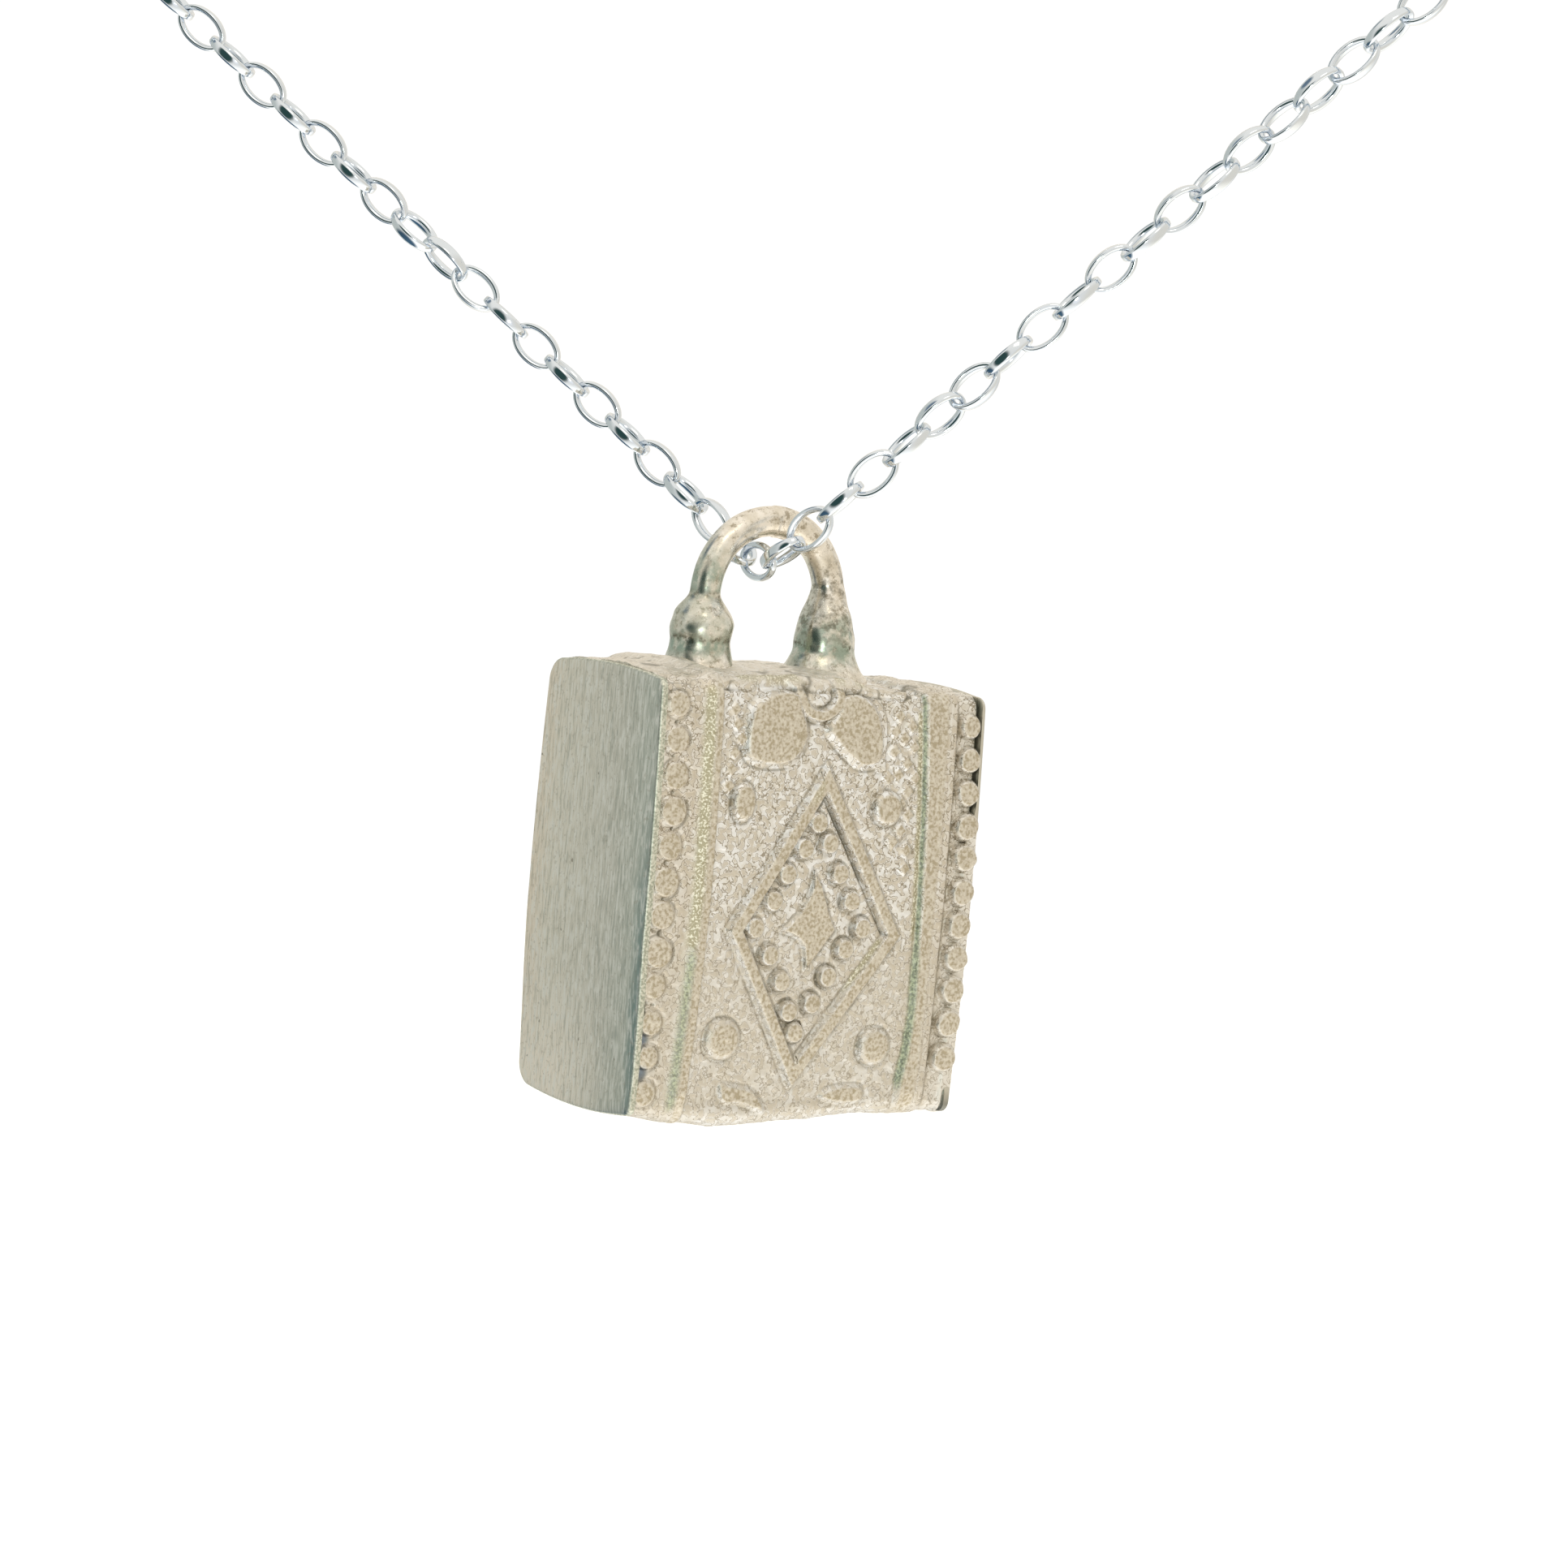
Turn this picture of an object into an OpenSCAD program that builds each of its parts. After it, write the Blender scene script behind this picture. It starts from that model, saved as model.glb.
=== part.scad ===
// Amulet box pendant on its necklace: a soldered silver box with cast relief and a round bail,
// hanging from a fine oval cable chain that closes behind the neck with a plain ring clasp.
// Millimetres. +Z is up, the wearer faces -Y, and the origin is the middle of the chain at the nape.

/* [Amulet box] */
// Width of the box over its two end plates
box_w = 16.8; // [15.5:0.1:18]
// Depth of the end plates, front to back
box_d = 9.4; // [8.6:0.1:10.4]
// Height of the end plates at their crown
box_h = 18.6; // [18:0.1:19]
// Height of the wrapped sheet between them at its crown
sheet_h = 18.8; // [18.4:0.1:19.2]
// Thickness of each end plate
plate_t = 0.4; // [0.3:0.05:0.6]
// How far the end plates stand proud of the sheet at the front and the back
plate_lip = 0.28; // [0.2:0.02:0.36]
// Wall of the box
wall = 0.9; // [0.8:0.05:1.1]
// How much the middle of the front and the back swells
face_crown = 0.3; // [0.2:0.05:0.4]
// How much the middle of the top and the bottom swells
top_crown = 0.35; // [0.25:0.05:0.45]
// Radius of the box's long edges
edge_r = 1.0; // [0.8:0.05:1.2]

/* [Relief] */
// Centre of each raised ridge, out from the middle of the front
ridge_x = 5.65; // [5.5:0.05:5.75]
// Width of each ridge
ridge_w = 0.62; // [0.5:0.02:0.7]
// Height of the ridges
ridge_rise = 0.34; // [0.25:0.01:0.38]
// Centre of each bead row, out from the middle of the front
bead_x = 7.35; // [7.2:0.05:7.4]
// Diameter of a bead in the border rows
bead_d = 1.15; // [1:0.05:1.2]
// Height of a border bead
bead_rise = 0.34; // [0.28:0.02:0.4]
// Beads in each border row
bead_count = 12; // [11:1:12]
// Spacing of the border beads
bead_pitch = 1.44; // [1.38:0.01:1.46]
// Height of the flat raised ornament
ornament_rise = 0.26; // [0.2:0.02:0.32]
// Half width of the lozenge frame
lozenge_w = 4.45; // [4.2:0.05:4.5]
// Half height of the lozenge frame
lozenge_h = 7; // [6.8:0.05:7.2]
// Width of the lozenge frame's bar
lozenge_bar = 0.55; // [0.4:0.05:0.6]
// How far the lozenge's centre is to the right of the middle of the front
lozenge_x = 0.25; // [0:0.05:0.3]
// Height of the lozenge's centre above the middle of the front
lozenge_z = -1.1; // [-1.3:0.05:-1]
// Diameter of the dots inside the lozenge
dot_d = 1; // [0.8:0.05:1.05]
// Dots along each side of the lozenge, with both of its points
dot_count = 5; // [4:1:5]
// Diameter of the four corner bosses
boss_d = 1.6; // [1.4:0.05:1.7]
// How far the collar and its two leaves are off the middle of the front
collar_x = -0.3; // [-0.5:0.05:0]
// Outer diameter of the collar, of which the lower half shows under the rail
collar_ring_d = 2.5; // [2.3:0.05:2.6]
// Height of the underside of the rail along the top edge
rail_z = 9; // [8.9:0.05:9.1]
// How far forward the back of that rail is from the middle of the top
rail_y = 3.2; // [3:0.1:3.4]

/* [Bail] */
// Diameter of the bail's wire
bail_wire = 1.3; // [1.2:0.05:1.4]
// Radius of the bail's arch along the middle of the wire
bail_r = 3.13; // [3.05:0.01:3.25]
// Height of the arch's centre above the middle of the box
bail_z = 12.72; // [12.5:0.02:13]
// How far the bail is soldered off the middle of the box
bail_x = -0.6; // [-1:0.1:0]
// Diameter of the ball on each leg
ball_d = 2.72; // [2.5:0.02:2.8]
// Height of the balls above the middle of the box
ball_z = 11.4; // [11.3:0.02:11.5]
// Diameter of the collar under each ball
collar_d = 2.5; // [2.3:0.02:2.6]
// Diameter of each leg's flared foot
foot_d = 3.4; // [3.2:0.05:3.6]

/* [Chain] */
// Length of one link, outside
link_l = 2.63; // [2.62:0.01:2.65]
// Width of one link, outside
link_w = 1.74; // [1.7:0.01:1.8]
// Diameter of the link's wire
link_wire = 0.31; // [0.28:0.01:0.32]
// Distance from link to link
link_pitch = 1.86; // [1.84:0.01:1.88]
// Links on each side, not counting the one in the bail
links_per_side = 105; // [103:1:105]
// Radius of the chain's round back, laid out flat
neck_r = 60.7; // [60.4:0.1:61]

/* [Hidden] */
$fn = 64;

// How the pendant hangs: turned on the chain, and leaning on its own hole's axis
turn = 45;
lean = 5.5;
// Where the chain's top wire meets the bail, out along the arch from its crown
touch_angle = 18;

// The V of the chain: half its angle, how softly it turns at the bottom, and how far it steps aside
// to pass through the bail
v_half = 48;
v_round = 0.6;
step_aside = 3;
step_fade = 30;
// The sheet that the chain is laid out on hangs steeply at the front, then bends back to the nape
front_slope = 84;
nape_slope = 15;
front_run = 28;
bend_r = 40;

// Clasp: a closed ring with an eye, and the wire and width of the end links
clasp_ring_d = 5;
clasp_wire = 0.9;
eye_d = 1.9;
eye_wire = 0.5;
end_wire = 0.4;
end_w = 2;
gap = 0.12;

// The wrapped sheet between the plates, how far it runs into them, and how far a cutting shape reaches
// past what it cuts
sheet_d = box_d - 2 * plate_lip;
sheet_w = box_w - 2 * plate_t;
joined = 0.1;
clear = 1;

// Radius of the arc that rises by a crown over a chord
function crown_r(chord, crown) = (chord * chord / 4 + crown * crown) / (2 * crown);

// How far an arc of radius r has fallen at a distance x from its crown
function fall(r, x) = r - sqrt(r * r - x * x);

// Front surface of the sheet at a height z, as a distance in front of the middle
function front_at(z) = sheet_d / 2 - fall(crown_r(sheet_h, face_crown), z);

// A prism of the box's section: four sides that swell, and corners rounded to radius r. A corner's arc
// is centred so that it stands a hair proud of both sides, which then trim it
module section_bar(d, h, w, r) {
    face_r = crown_r(h, face_crown);
    cap_r = crown_r(d, top_crown);
    hair = 0.01;
    corner_y = d / 2 - fall(face_r, h / 2 - top_crown - r) - r + hair;
    corner_z = h / 2 - fall(cap_r, corner_y) - r + hair;
    intersection() {
        union() {
            cube([w, d, 2 * corner_z], center = true);
            cube([w, 2 * corner_y, h], center = true);
            for (y = [-1, 1], z = [-1, 1]) {
                translate([0, y * corner_y, z * corner_z]) across(r, w);
            }
        }
        translate([0, face_r - d / 2, 0]) across(face_r, w + clear);
        translate([0, d / 2 - face_r, 0]) across(face_r, w + clear);
        translate([0, 0, cap_r - h / 2]) across(cap_r, w + clear);
        translate([0, 0, h / 2 - cap_r]) across(cap_r, w + clear);
    }
}

// A cylinder along X
module across(r, w) {
    rotate([0, 90, 0]) cylinder(r = r, h = w, center = true, $fn = 180);
}

module shell() {
    difference() {
        union() {
            section_bar(sheet_d, sheet_h, sheet_w + 2 * joined, edge_r - plate_lip);
            for (side = [-1, 1]) {
                translate([side * (box_w - plate_t) / 2, 0, 0]) section_bar(box_d, box_h, plate_t, edge_r);
            }
            ridges();
            front_ornament();
            rail();
            border_beads();
            lozenge_dots();
            bosses();
        }
        inside();
    }
}

// The hollow in the box, which nothing opens
module inside() {
    cube([box_w - 2 * wall, sheet_d - 2 * wall - face_crown, sheet_h - 2 * wall - top_crown], center = true);
}

// Two ridges run right round the box, over the top and under the bottom
module ridges() {
    for (side = [-1, 1]) {
        translate([side * ridge_x, 0, 0])
            section_bar(sheet_d + 2 * ridge_rise, sheet_h + 2 * ridge_rise, ridge_w, edge_r);
    }
}

// A flattened dome on the front, at x and z
module dome(x, z, d, rise) {
    r = crown_r(d, rise);
    translate([x, r - rise - front_at(z), z]) sphere(r = r);
}

module border_beads() {
    for (side = [-1, 1], i = [0 : bead_count - 1]) {
        dome(side * bead_x, (i - (bead_count - 1) / 2) * bead_pitch, bead_d, bead_rise);
    }
}

// Flat raised work follows the swelling of the front: a plan cut out of a skin over the sheet
module front_ornament() {
    root = wall / 2;
    intersection() {
        skin();
        translate([0, -sheet_d / 2 + root, 0]) rotate([90, 0, 0]) linear_extrude(height = root + clear) {
            translate([lozenge_x, lozenge_z]) lozenge_plan();
            translate([dots_x, lozenge_z]) star_plan();
            translate([collar_x, 0]) collar_plan();
            foot_leaves_plan();
        }
    }
}

module skin() {
    section_bar(sheet_d + 2 * ornament_rise, sheet_h + 2 * ornament_rise, sheet_w, edge_r);
}

// A flat band that bends over the top edge, from ridge to ridge
module rail() {
    intersection() {
        skin();
        translate([-ridge_x, -box_d, rail_z]) cube([2 * ridge_x, box_d - rail_y, sheet_h / 2]);
    }
}

module diamond(w, h) {
    polygon([[0, h], [w, 0], [0, -h], [-w, 0]]);
}

// The frame: the bar is measured square to its sides
module lozenge_plan() {
    inner_h = lozenge_h - lozenge_bar / sin(atan(lozenge_w / lozenge_h));
    difference() {
        diamond(lozenge_w, lozenge_h);
        diamond(lozenge_w * inner_h / lozenge_h, inner_h);
    }
}

// The dots and the star are a little to the left of the frame's centre
dots_x = 0;
dots_w = 2.75;
dots_h = 4.55;
dot_rise = 0.24;
// Half width and half height of the star, and the radius and depth of its hollow sides
star_w = 1.45;
star_h = 2.3;
star_hollow_r = 3.4;
star_hollow = 0.35;

// A four-pointed star: a diamond whose sides four large circles cut into
module star_plan() {
    side = norm([star_w, star_h]);
    difference() {
        diamond(star_w, star_h);
        for (x = [-1, 1], z = [-1, 1]) {
            middle = [x * star_w / 2, z * star_h / 2];
            out = [x * star_h, z * star_w] / side;
            translate(middle + out * (star_hollow_r - star_hollow)) circle(r = star_hollow_r);
        }
    }
}

// A ring whose upper half runs into the rail, between two broad leaves. Each leaf is where two circles
// cross: its lower inner edge is part of the first and its upper outer edge is part of the second
collar_z = 9.1;
collar_bar = 0.45;
leaf_gap = 0.15;
leaf_inner = [2.64, 8.17];
leaf_inner_r = 2.28;
leaf_outer = [1.68, 7.15];
leaf_outer_r = 1.83;

module collar_plan() {
    translate([0, collar_z]) difference() {
        circle(d = collar_ring_d);
        circle(d = collar_ring_d - 2 * collar_bar);
    }
    leaf_plan();
    mirror([1, 0]) leaf_plan();
}

module leaf_plan() {
    difference() {
        intersection() {
            translate(leaf_inner) circle(r = leaf_inner_r);
            translate(leaf_outer) circle(r = leaf_outer_r);
        }
        translate([0, collar_z]) circle(d = collar_ring_d + 2 * leaf_gap);
    }
}

// Tips of two leaves that turn under the bottom edge
foot_leaf_x = 2.6;
foot_leaf_z = -8.95;
foot_leaf_r = 1.1;

module foot_leaves_plan() {
    for (side = [-1, 1]) {
        translate([side * foot_leaf_x, foot_leaf_z]) circle(r = foot_leaf_r);
    }
}

// Dots in step with the lozenge's sides, just inside the bar
module lozenge_dots() {
    for (x = [-1, 1], z = [-1, 1], i = [0 : dot_count - 1]) {
        share = i / (dot_count - 1);
        if (!(x < 0 && i == 0) && !(z < 0 && i == dot_count - 1)) {
            dome(dots_x + x * dots_w * share, lozenge_z + z * dots_h * (1 - share), dot_d, dot_rise);
        }
    }
}

boss_x = 3.8;
boss_top = 4.1;
boss_bottom = -6;
boss_rise = 0.28;

module bosses() {
    for (x = [-1, 1], z = [boss_top, boss_bottom]) {
        dome(x * boss_x, z, boss_d, boss_rise);
    }
}

// Round wire bent to an arch, on a ball, a collar and a flared foot each side
module bail() {
    translate([bail_x, 0, 0]) {
        translate([0, 0, bail_z]) rotate([90, 0, 0])
            rotate_extrude(angle = 180) translate([bail_r, 0]) circle(d = bail_wire);
        for (side = [-1, 1]) {
            translate([side * bail_r, 0, 0]) bail_leg();
        }
    }
}

// A leg is rooted inside the top wall. Its foot narrows over flare_h to the collar
module bail_leg() {
    root_z = sheet_h / 2 - wall;
    foot_z = sheet_h / 2 - 0.15;
    flare_h = 0.7;
    translate([0, 0, root_z]) cylinder(d = bail_wire, h = bail_z - root_z);
    translate([0, 0, ball_z]) sphere(d = ball_d);
    translate([0, 0, root_z]) cylinder(d = collar_d, h = ball_z - root_z);
    translate([0, 0, foot_z]) cylinder(d1 = foot_d, d2 = collar_d, h = flare_h);
    translate([0, 0, root_z]) cylinder(d = foot_d, h = foot_z - root_z);
}

// The point of the pendant that the chain's wire runs through, which the pendant swings about
touch_r = bail_r - bail_wire / 2 - link_wire / 2 - gap;
pivot_in_box = [bail_x - touch_r * sin(touch_angle), 0, bail_z + touch_r * cos(touch_angle)];

module amulet_box() {
    color("#d6ccba")
    translate(pivot) rotate([0, lean, turn]) translate(-pivot_in_box) {
        shell();
        bail();
    }
}

// The flat sheet is bent about X: the place of a distance v up from the bottom of the V
bend_run = bend_r * (front_slope - nape_slope) * PI / 180;
function slope_at(v) =
    v < front_run ? front_slope :
    v < front_run + bend_run ? front_slope - (v - front_run) / bend_r * 180 / PI :
    nape_slope;
function sheet_y(v) =
    v < front_run ? v * cos(front_slope) :
    front_run * cos(front_slope) + bend_r * (sin(front_slope) - sin(slope_at(v)))
        + max(0, v - front_run - bend_run) * cos(nape_slope);
function sheet_z(v) =
    v < front_run ? v * sin(front_slope) :
    front_run * sin(front_slope) + bend_r * (cos(slope_at(v)) - cos(front_slope))
        + max(0, v - front_run - bend_run) * sin(nape_slope);

// The chain's line on the flat sheet: a soft V, then round the neck. t runs along u up to the place
// where the V meets the circle, and along the circle past it
meet_t = neck_r * cos(v_half);
centre_v = neck_r / sin(v_half) - v_round / tan(v_half);
function flat_u(t) = t < meet_t ? t : neck_r * cos(v_half - (t - meet_t) / neck_r * 180 / PI);
function flat_v(t) =
    t < meet_t ? (sqrt(t * t + v_round * v_round) - v_round) / tan(v_half) :
    centre_v - neck_r * sin(v_half - (t - meet_t) / neck_r * 180 / PI);
function aside(t) = -step_aside * tanh(t / step_aside) * exp(-t * t / (step_fade * step_fade));
function tanh(x) = (exp(2 * x) - 1) / (exp(2 * x) + 1);
top_v = centre_v + neck_r;
nape = [0, sheet_y(top_v), sheet_z(top_v)];
// side is 1 on the wearer's left, which is +X, and -1 on the other
function on_chain(t, side) =
    [side * flat_u(t), sheet_y(flat_v(t)) + side * aside(t), sheet_z(flat_v(t))] - nape;

// Joints between links lie one pitch apart along the chain, found by stepping t
function first_joint(t, n) =
    n == 0 ? t :
    first_joint(t + (link_pitch - norm(on_chain(t, 1) - on_chain(t, -1))) / 3, n - 1);
function next_joint(t, guess, side, n) =
    n == 0 ? guess :
    next_joint(t, guess + link_pitch - norm(on_chain(guess, side) - on_chain(t, side)), side, n - 1);
function joints(t, side, n) =
    n == 0 ? [t] : concat([t], joints(next_joint(t, t + link_pitch / 1.3, side, 9), side, n - 1));
t_first = first_joint(link_pitch / 3, 12);
joints_right = joints(t_first, 1, links_per_side);
joints_left = joints(t_first, -1, links_per_side);

middle_link = (on_chain(t_first, 1) + on_chain(t_first, -1)) / 2;
pivot = middle_link + [0, 0, (link_w - link_wire) / 2];

// How far a link is rolled about its own length: 0 is level and 90 upright. They alternate, and on each
// side two quarter turns of the whole chain shift the order, one after another, as slack chain takes up
function turned(k, at, over) = 1 / (1 + exp((at - k) / over));
function roll(k, side) =
    90 * (k % 2) + 90
    + 90 * turned(k, side > 0 ? 6.5 : 11, 1)
    + 90 * turned(k, side > 0 ? 17 : 60, 3);

// One link: round ends and straight sides, its length along X and its plane level
module link(length, width, wire) {
    r = (width - wire) / 2;
    straight = length - width;
    for (side = [0, 180]) {
        rotate([0, 0, side]) {
            translate([straight / 2, 0, 0])
                rotate([0, 0, -90]) rotate_extrude(angle = 180) translate([r, 0]) circle(d = wire, $fn = 24);
            translate([-straight / 2, r, 0]) rotate([0, 90, 0]) cylinder(d = wire, h = straight, $fn = 24);
        }
    }
}

// Puts its child from a to b: X along the line, rolled about it
module between(a, b, rolled) {
    d = b - a;
    translate((a + b) / 2)
        rotate([rolled, -atan2(d[2], norm([d[0], d[1]])), atan2(d[1], d[0])]) children();
}

module side_of_chain(side, steps) {
    for (k = [1 : links_per_side]) {
        between(on_chain(steps[k - 1], side), on_chain(steps[k], side), roll(k, side))
            link(link_l, link_w, link_wire);
    }
}

module chain_right() {
    color("#d9dde2") {
        between(on_chain(t_first, -1), on_chain(t_first, 1), roll(0, 1)) link(link_l, link_w, link_wire);
        side_of_chain(1, joints_right);
    }
}

module chain_left() {
    color("#d9dde2") side_of_chain(-1, joints_left);
}

// The clasp lies along X at the nape, on the slope of the neck: a closed ring with a soldered eye.
// Each hook is where the middle of an end link's wire runs through it
ring_r = (clasp_ring_d - clasp_wire) / 2;
eye_r = (eye_d - eye_wire) / 2;
solder = 0.1;
clasp_x = -eye_r - solder;
eye_x = clasp_x + ring_r + clasp_wire / 2 + eye_r + eye_wire / 2 - solder;
ring_hook = [clasp_x - ring_r + (clasp_wire + end_wire) / 2 + gap, 0, 0];
eye_hook = [eye_x + eye_r - (eye_wire + end_wire) / 2 - gap, 0, 0];

module clasp() {
    color("#d3d6da") rotate([nape_slope, 0, 0]) {
        translate([clasp_x, 0, 0]) rotate_extrude() translate([ring_r, 0]) circle(d = clasp_wire);
        translate([eye_x, 0, 0]) rotate_extrude() translate([eye_r, 0]) circle(d = eye_wire, $fn = 32);
    }
}

// An upright end link joins the last link of a side to the clasp
module end_link(side, steps, hook) {
    last = on_chain(steps[links_per_side], side);
    before = on_chain(steps[links_per_side - 1], side);
    reach = (link_l - link_pitch - link_wire) / 2 - (link_wire + end_wire) / 2 - gap;
    along = (last - before) / norm(last - before);
    start = last + along * reach;
    between(start, hook, 90) link(norm(hook - start) + end_wire, end_w, end_wire);
}

module end_link_right() {
    color("#d3d6da") end_link(1, joints_right, eye_hook);
}

module end_link_left() {
    color("#d3d6da") end_link(-1, joints_left, ring_hook);
}

amulet_box();
chain_right();
chain_left();
end_link_right();
end_link_left();
clasp();
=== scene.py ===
# %% [markdown]
# # A silver amulet box on a cable chain
#
# The pendant is a small closed box. One strip of silver, cast with a raised pattern on its front, is bent
# round and soldered to two flat end plates, and a round wire bail on two balls carries it. It hangs turned
# on a fine chain that runs up to a plain ring behind the neck.
#
# OpenSCAD has already made every solid at its true size. This lesson dresses those solids: it loads them as
# a fixed frame, then builds each visible surface with numpy, in the same place, and gives it its finish.

# %% Load the frame
import math

import bpy
import numpy as np
from mathutils import Matrix


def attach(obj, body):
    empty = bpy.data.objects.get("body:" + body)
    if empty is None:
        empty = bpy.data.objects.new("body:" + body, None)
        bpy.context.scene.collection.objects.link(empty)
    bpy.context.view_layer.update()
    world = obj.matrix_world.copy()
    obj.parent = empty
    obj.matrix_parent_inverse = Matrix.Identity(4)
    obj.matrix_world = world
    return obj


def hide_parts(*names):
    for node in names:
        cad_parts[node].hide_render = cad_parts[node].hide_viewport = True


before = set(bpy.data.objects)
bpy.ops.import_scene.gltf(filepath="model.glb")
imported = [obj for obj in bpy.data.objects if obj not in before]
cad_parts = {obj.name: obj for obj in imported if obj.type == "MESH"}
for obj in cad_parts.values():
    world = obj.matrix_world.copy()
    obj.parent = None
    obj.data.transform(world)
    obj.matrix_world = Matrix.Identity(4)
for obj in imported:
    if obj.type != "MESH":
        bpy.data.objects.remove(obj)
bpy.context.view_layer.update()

# %% [markdown]
# ## How the pendant hangs
#
# A maker draws the box upright, with its front towards the viewer, so every shape of the pendant is worked
# out that way, in millimetres from the middle of the box. It is then leaned and turned about the place where
# the chain's wire runs through the bail, as a jeweller's drawing becomes a hanging piece.

# %% From the box's own millimetres to the frame's metres
MM = 0.001
PIVOT = np.array([0.0, -95.7582, -78.3203])
HOLE = np.array([-1.28138, 0.0, 14.8171])
LEAN = math.radians(5.5)
TURN = math.radians(45)


def turn_about(axis, angle):
    """The matrix of a right-handed turn about X (0), Y (1) or Z (2): cosines on the two other rows, and
    the sine between them, minus above."""
    a, b = (axis + 1) % 3, (axis + 2) % 3
    m = np.eye(3)
    m[a, a] = m[b, b] = math.cos(angle)
    m[b, a] = math.sin(angle)
    m[a, b] = -math.sin(angle)
    return m


HANG = turn_about(2, TURN) @ turn_about(1, LEAN)


def hang(points):
    """Points of the box, in its own millimetres, leaned and turned about the hole and moved to the pivot."""
    return (PIVOT + (points - HOLE) @ HANG.T) * MM


box_middle = hang(np.zeros(3))
print("middle of the box, metres:", box_middle.round(4))

# %% [markdown]
# ## The camera
#
# The camera stands where the photograph was taken from: close by, a little above the pendant and to its
# left, and held not quite level. These angles come from matching the edges of the box, and the long lens
# keeps the close view calm. Its place is counted back from where the middle of the box appears: 1.4 mm to
# the left of the line of sight, 4.5 mm below it, and 192 mm away.

# %% Camera
YAW, PITCH, ROLL = (math.radians(angle) for angle in (11.268, 7.911, 0.63))
level = np.array([math.cos(YAW), math.sin(YAW), 0.0])
forward = np.array([-math.sin(YAW) * math.cos(PITCH), math.cos(YAW) * math.cos(PITCH), -math.sin(PITCH)])
right = math.cos(ROLL) * level - math.sin(ROLL) * np.cross(forward, level)
down = np.cross(forward, right)


def stand(thing, place, x_axis, y_axis, z_axis):
    """Places a camera or a lamp by its own three axes, which are the columns of its matrix."""
    matrix = np.eye(4)
    matrix[:3] = np.stack([x_axis, y_axis, z_axis, place], -1)
    thing.matrix_world = Matrix(matrix.tolist())


FOCAL_PIXELS, PHOTO_PIXELS = 5500, 1932
camera_data = bpy.data.cameras.new("camera")
camera_data.sensor_width = 36
camera_data.lens = FOCAL_PIXELS / PHOTO_PIXELS * camera_data.sensor_width
camera_data.clip_start = 0.01
camera = bpy.data.objects.new("camera", camera_data)
bpy.context.collection.objects.link(camera)
bpy.context.scene.camera = camera
box_seen = np.array([-1.38, 4.54, 192.2]) * MM
camera_place = box_middle - box_seen[0] * right - box_seen[1] * down - box_seen[2] * forward
stand(camera, camera_place, right, -down, -forward)
print("camera at", camera_place.round(4), "lens", round(camera_data.lens, 1))

# %% [markdown]
# ## Making a piece from arrays
#
# Every surface here is a grid of points: one parameter runs along the rows and one across them. A cell of
# the grid is a four-sided face, a ring joins its last row to its first, and an open end is closed by a fan
# of triangles from one middle point. A closed surface has a volume, and its sign tells which way the faces
# point, so one test turns every piece right side out.

# %% Grids, fans and meshes
def cells(rows, columns, rows_ring=False, columns_ring=False):
    """The corners of each cell of a grid numbered row by row; a ring repeats its first row or column."""
    number = np.arange(rows * columns).reshape(rows, columns)
    if rows_ring:
        number = np.vstack([number, number[:1]])
    if columns_ring:
        number = np.hstack([number, number[:, :1]])
    a, b, c, d = number[:-1, :-1], number[:-1, 1:], number[1:, 1:], number[1:, :-1]
    return np.stack([a, b, c, d], -1).reshape(-1, 4)


def fan(rim, pole, turned=False):
    """Triangles from a pole to each step of a closed rim."""
    after = np.roll(rim, -1)
    steps = (after, rim) if turned else (rim, after)
    return np.stack([np.full(len(rim), pole), *steps], -1)


def volume(points, faces):
    """The sum of the thin pyramids from the origin to each face; it is negative when faces point inwards."""
    a, b, c = points[faces[:, 0]], points[faces[:, 1]], points[faces[:, 2]]
    total = np.einsum("ij,ij->i", a, np.cross(b, c)).sum()
    if faces.shape[1] == 4:
        d = points[faces[:, 3]]
        total += np.einsum("ij,ij->i", a, np.cross(c, d)).sum()
    return total / 6


def make_piece(name, points, quads, triangles=None, marks=None):
    """A smooth mesh object from points in metres, with its faces turned outwards and a crease where it
    bends by over 60 degrees. marks holds a number or a vector for each point, under the name that a
    material reads it by."""
    parts = [quads] if triangles is None else [quads, triangles]
    middle = points.mean(0)
    size = sum(volume(points - middle, part) for part in parts)
    faces = [face for part in parts for face in (part[:, ::-1] if size < 0 else part).tolist()]
    mesh = bpy.data.meshes.new(name)
    mesh.from_pydata(points.tolist(), [], faces)
    mesh.shade_smooth()
    mesh.set_sharp_from_angle(angle=math.radians(60))
    for mark, values in (marks or {}).items():
        kind = "FLOAT" if values.ndim == 1 else "FLOAT_VECTOR"
        field = "value" if values.ndim == 1 else "vector"
        mesh.attributes.new(mark, kind, "POINT").data.foreach_set(field, values.astype(np.float32).ravel())
    piece = bpy.data.objects.new(name, mesh)
    bpy.context.collection.objects.link(piece)
    print(f"{name}: {len(points)} points, {len(faces)} faces, {abs(size) * 1e9:.2f} mm3")
    return piece


# %% [markdown]
# ## The section of the strip
#
# Cut through the middle, the strip is a tall rounded rectangle with gently crowned sides: a long flat arc
# at the front and back, a shorter one at the top and bottom, and a small arc at each corner. The arcs meet
# smoothly, so the corner's centre lies one corner radius inside both long arcs. It is walked by its own
# length, from the middle of the front up over the top, so that a pattern drawn on the strip keeps its size.

# %% One turn round a section
def crown_radius(chord, crown):
    """The radius of the arc that stands a crown's height over its chord."""
    return (chord ** 2 / 4 + crown ** 2) / (2 * crown)


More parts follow.
